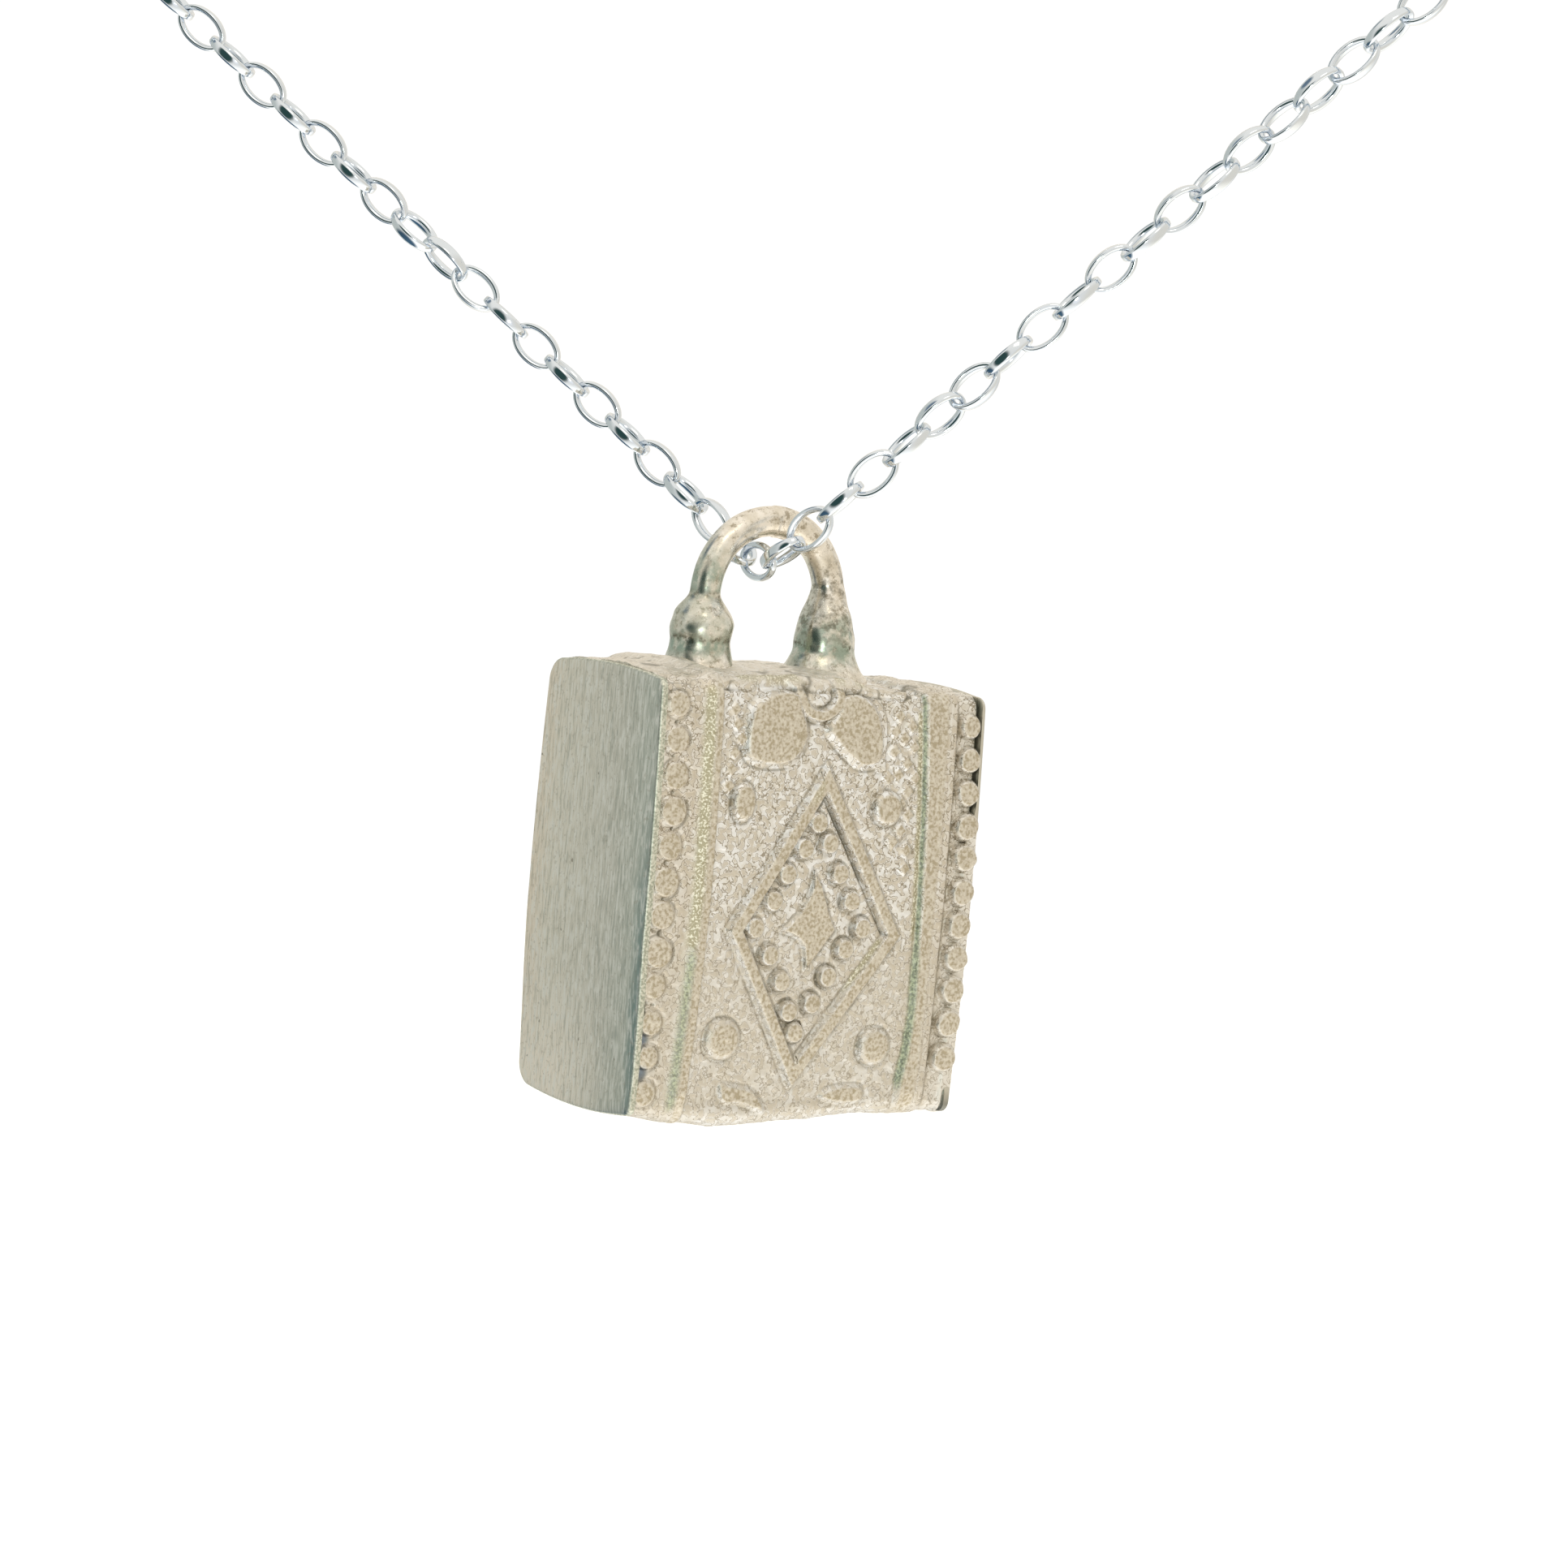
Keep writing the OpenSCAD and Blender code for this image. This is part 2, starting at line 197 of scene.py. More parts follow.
def quarter(depth, height, crowns, corner, counts):
    """From the middle of the front to the middle of the top, as rows of y, z and the outward direction.
    The direction turns from level to upright, and each point lies one radius from its arc's centre. The
    corner's centre lies where both long arcs, drawn smaller by the corner's radius, cross, and is found by
    going from one to the other until it stays. counts are the points on the front, corner and top arcs."""
    front_r, top_r = crown_radius(height, crowns[0]), crown_radius(depth, crowns[1])
    front_y, top_z = front_r - depth / 2, height / 2 - top_r
    corner_y = corner - depth / 2
    for _ in range(30):
        corner_z = top_z + math.sqrt((top_r - corner) ** 2 - corner_y ** 2)
        corner_y = front_y - math.sqrt((front_r - corner) ** 2 - corner_z ** 2)
    first = math.asin(corner_z / (front_r - corner))
    last = math.pi / 2 - math.asin(-corner_y / (top_r - corner))
    face = np.concatenate([np.linspace(0, first, counts[0], endpoint=False),
                           np.linspace(first, last, counts[1], endpoint=False),
                           np.linspace(last, math.pi / 2, counts[2])])
    arc = np.digitize(face, [first, last])
    radius, y0, z0 = (np.array(row)[arc] for row in ((front_r, corner, top_r), (front_y, corner_y, 0.0),
                                                     (0.0, corner_z, top_z)))
    return np.stack([y0 - radius * np.cos(face), z0 + radius * np.sin(face), -np.cos(face), np.sin(face)])


def outline(depth, height, crowns, front_corner, back_corner, counts):
    """A whole turn: up the front, over the top, down the back and home under the bottom."""
    up = quarter(depth, height, crowns, front_corner, counts)
    over = quarter(depth, height, crowns, back_corner, counts)[:, ::-1] * np.array([[-1], [1], [-1], [1]])
    half = np.hstack([up[:, :-1], over])
    other = half[:, ::-1] * np.array([[1], [-1], [1], [-1]])
    return np.hstack([half[:, :-1], other[:, :-1]])


STRIP_D, STRIP_H, STRIP_CORNER = 8.84, 18.8, 0.72
CROWNS = (0.3, 0.35)
section = outline(STRIP_D, STRIP_H, CROWNS, STRIP_CORNER, STRIP_CORNER, (300, 200, 200))
section = np.hstack([section, section[:, :1]])
walked = np.concatenate([[0], np.cumsum(np.hypot(*np.diff(section[:2], axis=1)))])
ROUND = walked[-1]


def around(v):
    """The place (y, z) and the outward direction (y, z) at a distance v along the section."""
    return [np.interp(v % ROUND, walked, row) for row in section]


print(f"once round the strip: {ROUND:.2f} mm")

# %% [markdown]
# ## Tools for relief
#
# The pattern was carved in wax and cast, so a raised form has a worn flat top, a bank of a fifth of a
# millimetre, and a tooled line at its foot. Each form is drawn as the distance inside its outline, positive
# inside. From that distance come three layers: its height, its lines, and its worn top. Layers of several
# forms are joined by taking the greatest height, the deepest line and the widest top.

# %% Distances to outlines
def inside_disc(x, z, x0, z0, r):
    """The radius less the distance from the middle."""
    return r - np.hypot(x - x0, z - z0)


def inside_outline(x, z, corners):
    """The distance to the nearest side of a closed outline, positive inside it. A point is inside when a
    line from it crosses the outline an odd number of times."""
    near = np.full(x.shape, 1e9)
    odd = np.zeros(x.shape, bool)
    for (ax, az), (bx, bz) in zip(corners, np.roll(corners, -1, 0)):
        along = ((x - ax) * (bx - ax) + (z - az) * (bz - az)) / ((bx - ax) ** 2 + (bz - az) ** 2)
        along = along.clip(0, 1)
        near = np.minimum(near, np.hypot(x - ax - along * (bx - ax), z - az - along * (bz - az)))
        if az != bz:
            odd ^= ((az > z) != (bz > z)) & (x < ax + (z - az) / (bz - az) * (bx - ax))
    return np.where(odd, near, -near)


def rounded(corners, steps=4):
    """A closed outline through the corners without kinks: between two corners each point is a cubic mix of
    the four nearest, the Catmull-Rom rule."""
    p = np.array(corners, float)
    t = np.linspace(0, 1, steps, endpoint=False)[:, None]
    a, b, c, d = (np.roll(p, -k, 0)[:, None] for k in (-1, 0, 1, 2))
    curve = 0.5 * (2 * b + (c - a) * t + (2 * a - 5 * b + 4 * c - d) * t ** 2
                   + (3 * b - a - 3 * c + d) * t ** 3)
    return curve.reshape(-1, 2)


# %% Layers from distances
def ease(t):
    """A smooth step from 0 to 1, level at both ends."""
    t = np.clip(t, 0, 1)
    return t * t * (3 - 2 * t)


def within(t, low, high, soft_low, soft_high):
    """1 between two limits and 0 beyond them, eased over a width just inside each."""
    return ease((t - low) / soft_low) * ease((high - t) / soft_high)


def bell(t):
    """A smooth bump, 1 in the middle, a third at t = 1 and nearly nothing beyond 2."""
    return np.exp(-t ** 2)


def table(at, pairs):
    """A value read off a table of pairs, with straight lines between them."""
    return np.interp(at, *np.array(pairs, float).T)


def raised(inside, rise, bank=0.2, line=0.05, swell=0.0):
    """The layers of a raised form: a bank up to a flat top that may swell a little further in, a tooled
    line just outside the foot, and the worn top from the bank's upper edge inwards."""
    height = rise * ease(inside / bank) + swell * (1 - np.exp(-np.clip(inside - bank, 0, None) / 0.5))
    return height, -line * bell((inside + 0.05) / 0.08), ease((inside - 0.65 * bank) / (0.35 * bank))


def dome(x, z, x0, z0, r, rise, worn, line=0.06):
    """The layers of a dome: a round cap, worn flat where it would rise over a share of its height."""
    share = np.clip(1 - ((x - x0) ** 2 + (z - z0) ** 2) / r ** 2, 0, 1)
    height = rise * np.minimum(np.sqrt(share), worn + 0.06 * share) / worn
    return height, -line * bell((inside_disc(x, z, x0, z0, r) + 0.05) / 0.08), ease((share - 0.3) / 0.25)


def join(forms):
    """The greatest height, the deepest line and the widest worn top of several forms."""
    heights, lines, tops = zip(*forms)
    return [np.maximum.reduce(heights), np.minimum.reduce(lines), np.maximum.reduce(tops)]


def grain(x, z, size, seed):
    """Smooth noise from -1 to 1: seeded random numbers on a lattice of that size, eased in between."""
    lattice = np.random.default_rng(seed).uniform(-1, 1, (256, 256))
    gx, gz = x / size + 128, z / size + 128
    ix, iz = np.floor(gx).astype(int), np.floor(gz).astype(int)
    tx, tz = ease(gx - ix), ease(gz - iz)
    low = lattice[ix % 256, iz % 256] * (1 - tx) + lattice[(ix + 1) % 256, iz % 256] * tx
    high = lattice[ix % 256, (iz + 1) % 256] * (1 - tx) + lattice[(ix + 1) % 256, (iz + 1) % 256] * tx
    return low * (1 - tz) + high * tz


# %% [markdown]
# ## The borders
#
# A row of beads runs down each edge of the front, between the end plate and a ridge. The left ones are flat
# discs that nearly touch, with small pits between them. The right ones are round beads with worn tops. Near
# the top of the box a slot opens between them and the plate. Lower down a shelf carries them out past the
# plate, so that they make the box's outline. The places of all of them were read off the photograph.

# %% Discs and beads
left_discs = [(-7.27, 8.2, 0.6), (-7.24, 6.75, 0.64), (-7.2, 5.25, 0.66), (-7.2, 3.77, 0.7),
              (-7.24, 2.32, 0.66), (-7.3, 0.83, 0.7), (-7.35, -0.57, 0.66), (-7.34, -2.13, 0.72),
              (-7.4, -3.53, 0.62), (-7.37, -5.09, 0.6), (-7.36, -6.54, 0.58), (-7.32, -8.08, 0.62)]
left_pits = [(-7.3, 7.45, 0.1), (-7.35, 6.05, 0.08), (-7.28, 4.55, 0.11), (-7.34, 1.62, 0.13),
             (-7.36, 0.1, 0.06), (-7.36, -1.33, 0.14), (-7.7, -4.25, 0.13), (-7.35, -4.32, 0.09),
             (-7.2, 3.05, 0.06)]
left_pockets = [(-7.66, -5.82, 0.26), (-7.6, -7.22, 0.3)]
right_beads = [(7.55, 7.8, 0.58), (7.6, 6.36, 0.62), (7.63, 4.92, 0.64), (7.73, 3.47, 0.66),
               (7.77, 2.12, 0.66), (7.77, 0.63, 0.67), (7.77, -0.82, 0.66), (7.77, -2.23, 0.67),
               (7.77, -3.63, 0.67), (7.75, -5.09, 0.67), (7.71, -6.62, 0.67)]


def pit(x, z, x0, z0, r, deep):
    """The layers of a round pit with soft walls: a line alone, with no height and no worn top."""
    return 0 * x, -deep * bell(np.hypot(x - x0, z - z0) / r), 0 * x


def discs(x, v):
    """Low discs, the pits between them and two deeper pockets. One disc has a ring scratched inside its
    edge, and an open seam runs along the plate beside the lower ones."""
    forms = [raised(inside_disc(x, v, x0, v0, r), rise=0.12, bank=0.16, line=0.045, swell=0.03)
             for x0, v0, r in left_discs]
    forms += [pit(x, v, x0, v0, r, deep=0.12) for x0, v0, r in left_pits]
    forms += [pit(x, v, x0, v0, r, deep=0.2) for x0, v0, r in left_pockets]
    height, line, top = join(forms)
    scratched = -0.03 * bell((np.hypot(x + 7.47, v + 5.09) - 0.36) / 0.05)
    seam = -0.16 * bell((x + 7.74) / 0.05) * ease((-v - 3.9) / 0.5)
    return height, np.minimum(line, scratched + seam), top


def beads(x, v):
    """Round beads with uneven outlines and worn tops, the shelf under the lower ones, and the slot beside the
    upper ones."""
    uneven = x + 0.05 * grain(x, v, 0.4, 14)
    height, line, top = join([dome(uneven, v, x0, v0, r, rise=0.36, worn=0.62, line=0.015)
                              for x0, v0, r in right_beads])
    shelf = 0.12 * ease((x - 7.7) / 0.25) * ease((3.8 - v) / 0.5)
    slot = -0.3 * bell((x - 8.14) / 0.1) * within(v, 3.6, 9.5, 0.9, 0.5)
    return np.maximum(height, shelf), line + slot * (height < 0.1), top


# %% [markdown]
# ## The ridges
#
# Two ridges run right round the box. The left one is a long slope up to a narrow crest. The right one has a
# steep inner side, which holds a dark line of painted shade and painted green reflection, then a broad top
# with two shallow grooves. Both were carved by hand, so their edges wander along the front, and both are
# nearly filed away under the box. The upper half of their slopes carries painted glints, and the lower half a
# painted green reflection of dark surroundings.

# %% Ridges
left_start = [(-9, -6.45), (-5, -6.4), (0, -6.2), (9, -6.2)]
left_crest = [(-9, -5.85), (-5, -5.72), (0, -5.5), (9, -5.52)]
left_end = [(-9, -5.35), (-6, -5.25), (0, -5.1), (9, -5.15)]
right_line = [(-9.5, 5.5), (-7.6, 5.52), (-6.5, 5.7), (-5, 5.82), (-1, 5.72), (3, 5.56), (5, 5.46),
              (8, 5.24), (9.5, 5.2)]
right_grooves = [(5.98, 0.03), (6.45, 0.04)]
line_width = [(-8, 0.19), (-2.5, 0.18), (-1.5, 0.09), (8, 0.08)]
RIDGE_RISE, RIGHT_TOP, RIGHT_END = 0.28, 6.45, 7.05


def ridges(x, v):
    """The layers of both ridges: banks that follow the lines above, and fine lines at foot, crest and end."""
    start, crest, end, line = (table(v, edge) for edge in (left_start, left_crest, left_end, right_line))
    kept = RIDGE_RISE * (1 - 0.7 * within(v, -20, -8.0, 2, 1.0))
    slope = ((x - start) / (crest - start)).clip(0, 1)
    left = kept * (0.4 * ease(slope) + 0.6 * slope) * ease((end + 0.12 - x) / 0.2)
    steep, gentle = ease((x - line + 0.16) / 0.36), ease((x - 6.2) / 0.25)
    right = kept * (0.8 * steep + 0.2 * gentle) * ease((RIGHT_END - x) / 0.3)
    wander = 0.08 * grain(x * 0, v, 1.3, 15)
    for groove, deep in right_grooves:
        right = right - deep * bell((x - groove - wander) / 0.045) * (right > 0.1)
    top = np.maximum(within(x, crest, end, 0.1, 0.08), within(x, line + 0.12, RIGHT_TOP, 0.06, 0.2))
    on_front = ease((9.3 - abs(v)) / 0.4)
    foot = -0.025 * bell((x - line + 0.12) / 0.06)
    thin = -0.02 * (bell((x - end - 0.1) / 0.05) + bell((x - crest) / 0.05) * ease((-v - 4) / 2))
    return np.maximum(left, right), (foot + thin) * on_front, top


def ridge_marks(x, v):
    """Where the ridges' slopes carry a painted green reflection of dark surroundings, and painted glints."""
    crest, line = table(v, left_crest), table(v, right_line)
    on_front = ease((9.3 - abs(v)) / 0.4)
    green = bell((x - line + 0.02) / table(v, line_width)) * on_front * ease((v + 8.3) / 0.8)
    green = green + 0.8 * bell((x - crest + 0.2) / 0.22) * within(v, -9, -1.5, 0.5, 1.0)
    glint = bell((x - crest + 0.24) / 0.27) * within(v, -2.2, 9.2, 0.6, 0.5)
    glint = glint + bell((x - line + 0.21) / 0.14) * within(v, -2.4, 8.6, 1.5, 0.5)
    return green, glint


# %% [markdown]
# ## The ornament
#
# Between the ridges stands a handmade lozenge, a frame of four bars that is not quite true, with a ring of
# small domes and a hollow-sided star inside it. A rail with a round collar and two leaves hangs over it, and
# a boss stands in each corner. All of it is traditional ornament of old amulet boxes.

# %% Lozenge, star and dots
LOZENGE_BAR = 0.84
lozenge_tips = np.array([(0.36, 6.1), (4.92, -1.3), (-0.07, -8.1), (-4.15, -1.15)])
star_line = np.array([(0.07, 1.53), (-0.08, 0.53), (-0.33, 0.03), (-0.63, -0.47), (-1.08, -0.92),
                      (-1.58, -1.17), (-0.98, -1.3), (-0.55, -1.45), (-0.2, -1.8), (-0.08, -2.3),
                      (-0.01, -3.03), (1.47, -1.07), (1.07, -0.37), (0.82, 0.23), (0.57, 0.83)])
dots = [(0.04, 3.47), (0.68, 2.62), (1.32, 1.33), (2.02, 0.18), (2.72, -0.97), (1.92, -1.88), (1.19, -3.08),
        (0.51, -4.23), (-0.22, -5.49), (-0.64, -4.58), (-1.16, -3.28), (-1.87, -2.18), (-2.73, -1.02),
        (-1.93, 0.13), (-1.33, 1.28), (-0.57, 2.37)]


def lozenge(x, v):
    """Four bars, high inside the outer outline and outside one that is a bar's width smaller. The line at
    the inner foot is deepest along the upper right bar."""
    inside = inside_outline(x, v, lozenge_tips)
    height, line, top = raised(np.minimum(inside, LOZENGE_BAR - inside), rise=0.24, bank=0.22, line=0.035)
    upper_right = ease((x + 0.1) / 0.4) * ease((v + 1.4) / 0.3)
    deep = 0.02 + 0.08 * upper_right
    return height, np.minimum(line, -deep * bell((inside - LOZENGE_BAR - 0.02) / 0.07)), top


def star_and_dots(x, v):
    """The star is a low plateau. Each dot is a worn dome with a line round its foot."""
    star = raised(inside_outline(x, v, star_line), rise=0.15, bank=0.14, line=0.035, swell=0.02)
    return join([star] + [dome(x, v, x0, z0, r=0.48, rise=0.27, worn=0.57, line=0.045) for x0, z0 in dots])


# %% Rail, collar, leaves, bosses and small diamonds
rail_under = [(-5.4, 9.0), (-3.6, 8.98), (-3.2, 9.2), (-1.9, 9.25), (-1.4, 8.95), (-0.9, 9.1), (-0.25, 9.0),
              (0.4, 9.1), (0.9, 8.95), (1.4, 9.05), (2.4, 8.9), (4.2, 8.85), (4.5, 9.0)]
left_leaf = [(-1.5, 8.7), (-2.3, 8.75), (-3.0, 8.5), (-3.45, 8.2), (-3.7, 7.5), (-3.75, 6.8), (-3.6, 6.2),
             (-3.0, 6.0), (-2.3, 5.98), (-1.7, 6.08), (-1.25, 6.45), (-0.95, 7.0), (-1.0, 7.5), (-1.25, 8.1)]
right_leaf = [(0.95, 8.6), (1.6, 8.78), (2.2, 8.55), (2.62, 8.15), (2.85, 7.6), (2.97, 6.9), (2.92, 6.35),
              (2.6, 6.08), (2.0, 6.06), (1.5, 6.36), (1.0, 6.76), (0.62, 7.12), (0.4, 7.42), (0.58, 7.75),
              (0.85, 8.2)]
terrace = [(2.6, 8.6), (3.2, 8.3), (3.4, 7.2), (3.36, 6.3), (3.4, 5.7), (2.7, 5.8), (2.4, 6.6)]
left_foot = [(-3.6, -7.75), (-3.0, -7.8), (-1.9, -8.05), (-1.3, -8.8), (-1.7, -8.72), (-2.6, -8.5),
             (-3.4, -8.45)]
right_foot = [(1.6, -8.3), (2.2, -7.95), (3.4, -7.85), (3.75, -8.1), (3.6, -8.5), (2.6, -8.55)]
bosses = [(-3.78, 4.25, 0.6, 0.88), (3.6, 4.15, 0.78, 0.78), (-3.76, -5.79, 0.92, 0.92),
          (4.05, -6.12, 0.86, 0.86)]
diamonds = [(4.23, 7.2), (3.76, 6.61), (4.77, 6.81), (4.45, 6.11), (4.04, 5.61), (4.62, 4.92), (4.7, 3.92),
            (4.39, 3.22), (4.6, 7.7), (3.97, 8.1), (4.3, 4.4), (4.75, 2.4), (3.55, 5.45), (3.75, 7.45),
            (4.95, 5.5), (4.0, 2.75), (4.75, 1.6), (-4.4, 6.3), (-4.3, 7.5), (-4.45, 8.1), (-4.1, 6.9),
            (-4.5, 5.6), (-4.55, 4.9)]


def top_ornament(x, v):
    """The rail along the top edge, the collar hanging from it, a leaf on each side, and a low terrace beside
    the right one."""
    rail_inside = np.minimum(np.minimum(v - table(x, rail_under), 9.78 - v), np.minimum(x + 5.2, 4.5 - x))
    rail = raised(rail_inside, rise=0.16, bank=0.16, line=0.04)
    ring = np.hypot(x + 0.2, v - 9.0)
    collar = raised(np.minimum(1.34 - ring, ring - 0.72), rise=0.2, bank=0.16, line=0.06)
    below = ease((9.2 - v) / 0.1)
    leaves = [raised(inside_outline(x, v, rounded(leaf)) + 0.3, rise=0.24, bank=0.34, line=0.045, swell=0.03)
              for leaf in (left_leaf, right_leaf)]
    step = raised(inside_outline(x, v, rounded(terrace)), rise=0.1, bank=0.14, line=0.03)
    return join([rail, [layer * below for layer in collar], *leaves, [step[0], step[1], 0 * x]])


def small_forms(x, v):
    """Bosses, which are worn domes, some taller than wide, the leaves at the foot, and tiny diamonds."""
    forms = []
    for x0, z0, wide, tall in bosses:
        height, _, top = dome((x - x0) / wide, (v - z0) / tall, 0, 0, r=1, rise=0.26, worn=0.72, line=0)
        far = np.hypot((x - x0) / wide, (v - z0) / tall)
        forms.append((height, -0.035 * bell((far - 1.06) * wide / 0.08), top))
    for foot in (left_foot, right_foot):
        forms.append(raised(inside_outline(x, v, rounded(foot)) + 0.1, rise=0.16, bank=0.2, line=0.03))
    for x0, z0 in diamonds:
        inside = 0.3 - (abs(x - x0) + abs(v - z0)) * 0.72
        forms.append(raised(inside, rise=0.09, bank=0.14, line=0.03))
    return join(forms)


# %% [markdown]
# ## The whole relief
#
# The forms are joined, then the ground between them gets its pebbling: the marks of the wax tool and of the
# casting sand, which the raised tops have lost by wear. Over the top edge the metal is lumpy and creased
# where the strip was bent. Under the box it was filed unevenly. Towards the back only the ridges go on.
#
# Beside the height, each place gets marks for the finish: how worn its top is, how deep its line, which is
# darkened with tarnish and painted shade, how strong its painted green reflection is, and where an edge
# carries a painted glint or a pocket a painted reflection of something cold.

# %% What bending, filing and wear did, and the painted glints
filed_under = [(-7.9, 0.12), (-6.0, -0.14), (-4.8, -0.26), (-3.6, -0.42), (-1.55, -0.34), (-0.3, -0.26),
               (1.4, -0.2), (2.6, -0.06), (3.9, 0.06), (5.2, 0.02), (6.5, 0.1), (7.8, 0.14)]
bent_over = [(-8, 0.16), (-4, 0.2), (-2.6, 0.3), (1.6, 0.34), (2.8, -0.14), (6.5, -0.28), (8, -0.1)]


def handwork(x, v, over):
    """The height that handwork added: broad lumps all round, finer ones and a swelling over the top, and
    under the box the filing, which took metal off in some places and left it proud in others."""
    lumps = 0.025 * grain(x, v, 2.3, 6) + over * (0.06 * grain(x, v, 1.2, 7) + 0.03 * grain(x, v, 0.5, 8))
    filed = table(x, filed_under) * within(v, -20, -8.3, 2, 1.1)
    return lumps - filed + over * table(x, bent_over)


def creased(x, v):
    """Creases of the bent top: thin lines where either of two fields of noise passes through nought."""
    lines = np.maximum(bell(grain(x * 0.4, v, 0.55, 9) / 0.11), bell(grain(x, v, 0.9, 18) / 0.07))
    return lines * within(v, 8.5, 18.8, 0.5, 1.2)


def painted_glints(x, v):
    """Painted highlights: glints on the inner edge of the lozenge's lower right bar, on its upper left bar
    near the tip, and here and there along the top edge of the front."""
    inside = inside_outline(x, v, lozenge_tips)
    lower_right = bell((inside - LOZENGE_BAR + 0.03) / 0.1) * ease((x - 1.8) / 0.8) * ease((-1.4 - v) / 0.2)
    upper_left = bell((inside - 0.38) / 0.2) * ease((v - 3.8) / 0.8) * ease((0.3 - x) / 0.2)
    in_places = within(x, -5.2, 4.6, 0.3, 0.3) * ease(0.4 + 1.3 * grain(x, v, 0.5, 16))
    return lower_right + 0.6 * upper_left + 0.7 * bell((v - 9.45) / 0.28) * in_places


# %% The height and the marks of the strip at any place
def relief(x, v):
    """The height in millimetres at x across the strip and a distance v round it from the front's middle,
    and a dictionary of marks from 0 to 1 for the finish."""
    v = (v + ROUND / 2) % ROUND - ROUND / 2
    front, over = ease((9.9 - abs(v)) / 0.5), within(v, 8.9, 18.8, 0.8, 1.2)
    forms = join([form(x, v) for form in (discs, beads, lozenge, star_and_dots, top_ornament, small_forms)])
    height, lines, worn = join([[layer * front for layer in forms], ridges(x, v)])
    ground = 1 - ease(height / 0.1)
    pebbles = 0.008 * grain(x, v, 0.15, 1) + 0.008 * grain(x, v, 0.28, 2)
    isles = ease(0.5 + 2.5 * grain(x, v, 0.3, 3))
    hammered = 0.009 * grain(x, v, 0.24, 4) + 0.008 * grain(x, v, 0.5, 5)
    patchy = 0.3 + 0.7 * ease(0.5 + 1.3 * grain(x, v, 0.7, 10))
    creases = creased(x, v) * patchy
    height = height + (lines + pebbles + 0.02 * isles) * ground + hammered * (1 - ground)
    height = height + handwork(x, v, over) - 0.03 * creases
    green, glint = ridge_marks(x, v)
    # painted reflection: the two pockets take a cold blue-grey
    painted_cold_reflection = sum(bell(np.hypot(x - x0, v - v0) / (1.1 * r)) for x0, v0, r in left_pockets)
    # painted shade with tarnish: the line mark darkens the tooled lines and the creases, where shade falls
    dark = -lines * ground * patchy / 0.06 + 0.85 * creases
    marks = {"worn": worn * (1 - over), "green": green, "glint": np.clip(glint + painted_glints(x, v), 0, 1),
             "painted_cold_reflection": painted_cold_reflection, "line": np.clip(dark, 0, 1)}
    return height, marks


# %% [markdown]
# ## The strip
#
# One grid runs across the strip and right round it. The front carries all the relief, so its rows lie less
# than a twentieth of a millimetre apart, and the plain back needs far fewer. To keep each mesh light, the
# strip is made as four rings side by side, closed by a fan at both ends. Each ring is worked out a little
# wider than it is kept, so that the measure of how deep a place lies runs on across the joints.

# %% Rings of the strip
FINE, FINE_REACH = 0.045, 10.8
BACK_CORNER = 9.2
MARGIN, AVERAGINGS = 12, 24


def rows_round():
    """Distances round the section: close together on the front, wider on the flats, and closer again on the
    back's two corners, which lie to each side of the back's middle, half a turn from the front's."""
    corner = ROUND / 2 - BACK_CORNER
    stops = [FINE_REACH, corner - 1.0, corner + 1.0, ROUND - corner - 1.0, ROUND - corner + 1.0,
             ROUND - FINE_REACH]
    plain = [np.linspace(a, b, rows, endpoint=False)
             for a, b, rows in zip(stops, stops[1:], (44, 22, 46, 22, 16))]
    return np.concatenate([np.arange(-FINE_REACH, FINE_REACH, FINE), *plain])


def strip_ring(name, x_from, x_to):
    """Each grid point lies on the section, moved out along the section's own direction by the relief. The
    depth mark is how far a place lies under the average round it, in tenths of a millimetre, and half of that
    beside the right plate, where light gets in from the side. It paints shade into the hollows."""
    columns = round((x_to - x_from) / FINE) + 1
    step = (x_to - x_from) / (columns - 1)
    wide = x_from + step * np.arange(-MARGIN, columns + MARGIN)
    v, x = np.meshgrid(rows_round(), wide, indexing="ij")
    height, marks = relief(x, v)
    soft = height.copy()
    for _ in range(AVERAGINGS):
        soft = (soft + np.roll(soft, 1, 0) + np.roll(soft, -1, 0)) / 3
        soft[:, 1:-1] = (soft[:, :-2] + soft[:, 1:-1] + soft[:, 2:]) / 3
    # painted shade: the depth mark darkens hollows, half as much beside the right plate
    marks["depth"] = (soft - height) / 0.1 * (1 - 0.5 * ease((x - 7.0) / 0.2))
    y, z, out_y, out_z = around(v)
    placed = np.stack([x, y + out_y * height, z + out_z * height], -1)[:, MARGIN:-MARGIN]
    points = np.vstack([placed.reshape(-1, 3), [[x_from, 0, 0], [x_to, 0, 0]]])
    start = np.arange(len(v)) * columns
    caps = np.vstack([fan(start, len(points) - 2, True), fan(start + columns - 1, len(points) - 1)])
    kept = {mark: np.append(values[:, MARGIN:-MARGIN], [0.0, 0.0]) for mark, values in marks.items()}
    return make_piece(name, hang(points), cells(len(v), columns, rows_ring=True), caps,
                      {**kept, "box_mm": points})


ring_names = ["strip_left", "strip_middle_left", "strip_middle_right", "strip_right"]
ring_edges = [-8.05, -4.75, 0.1, 5.0, 8.36]
strip = [strip_ring(*ring) for ring in zip(ring_names, ring_edges, ring_edges[1:])]

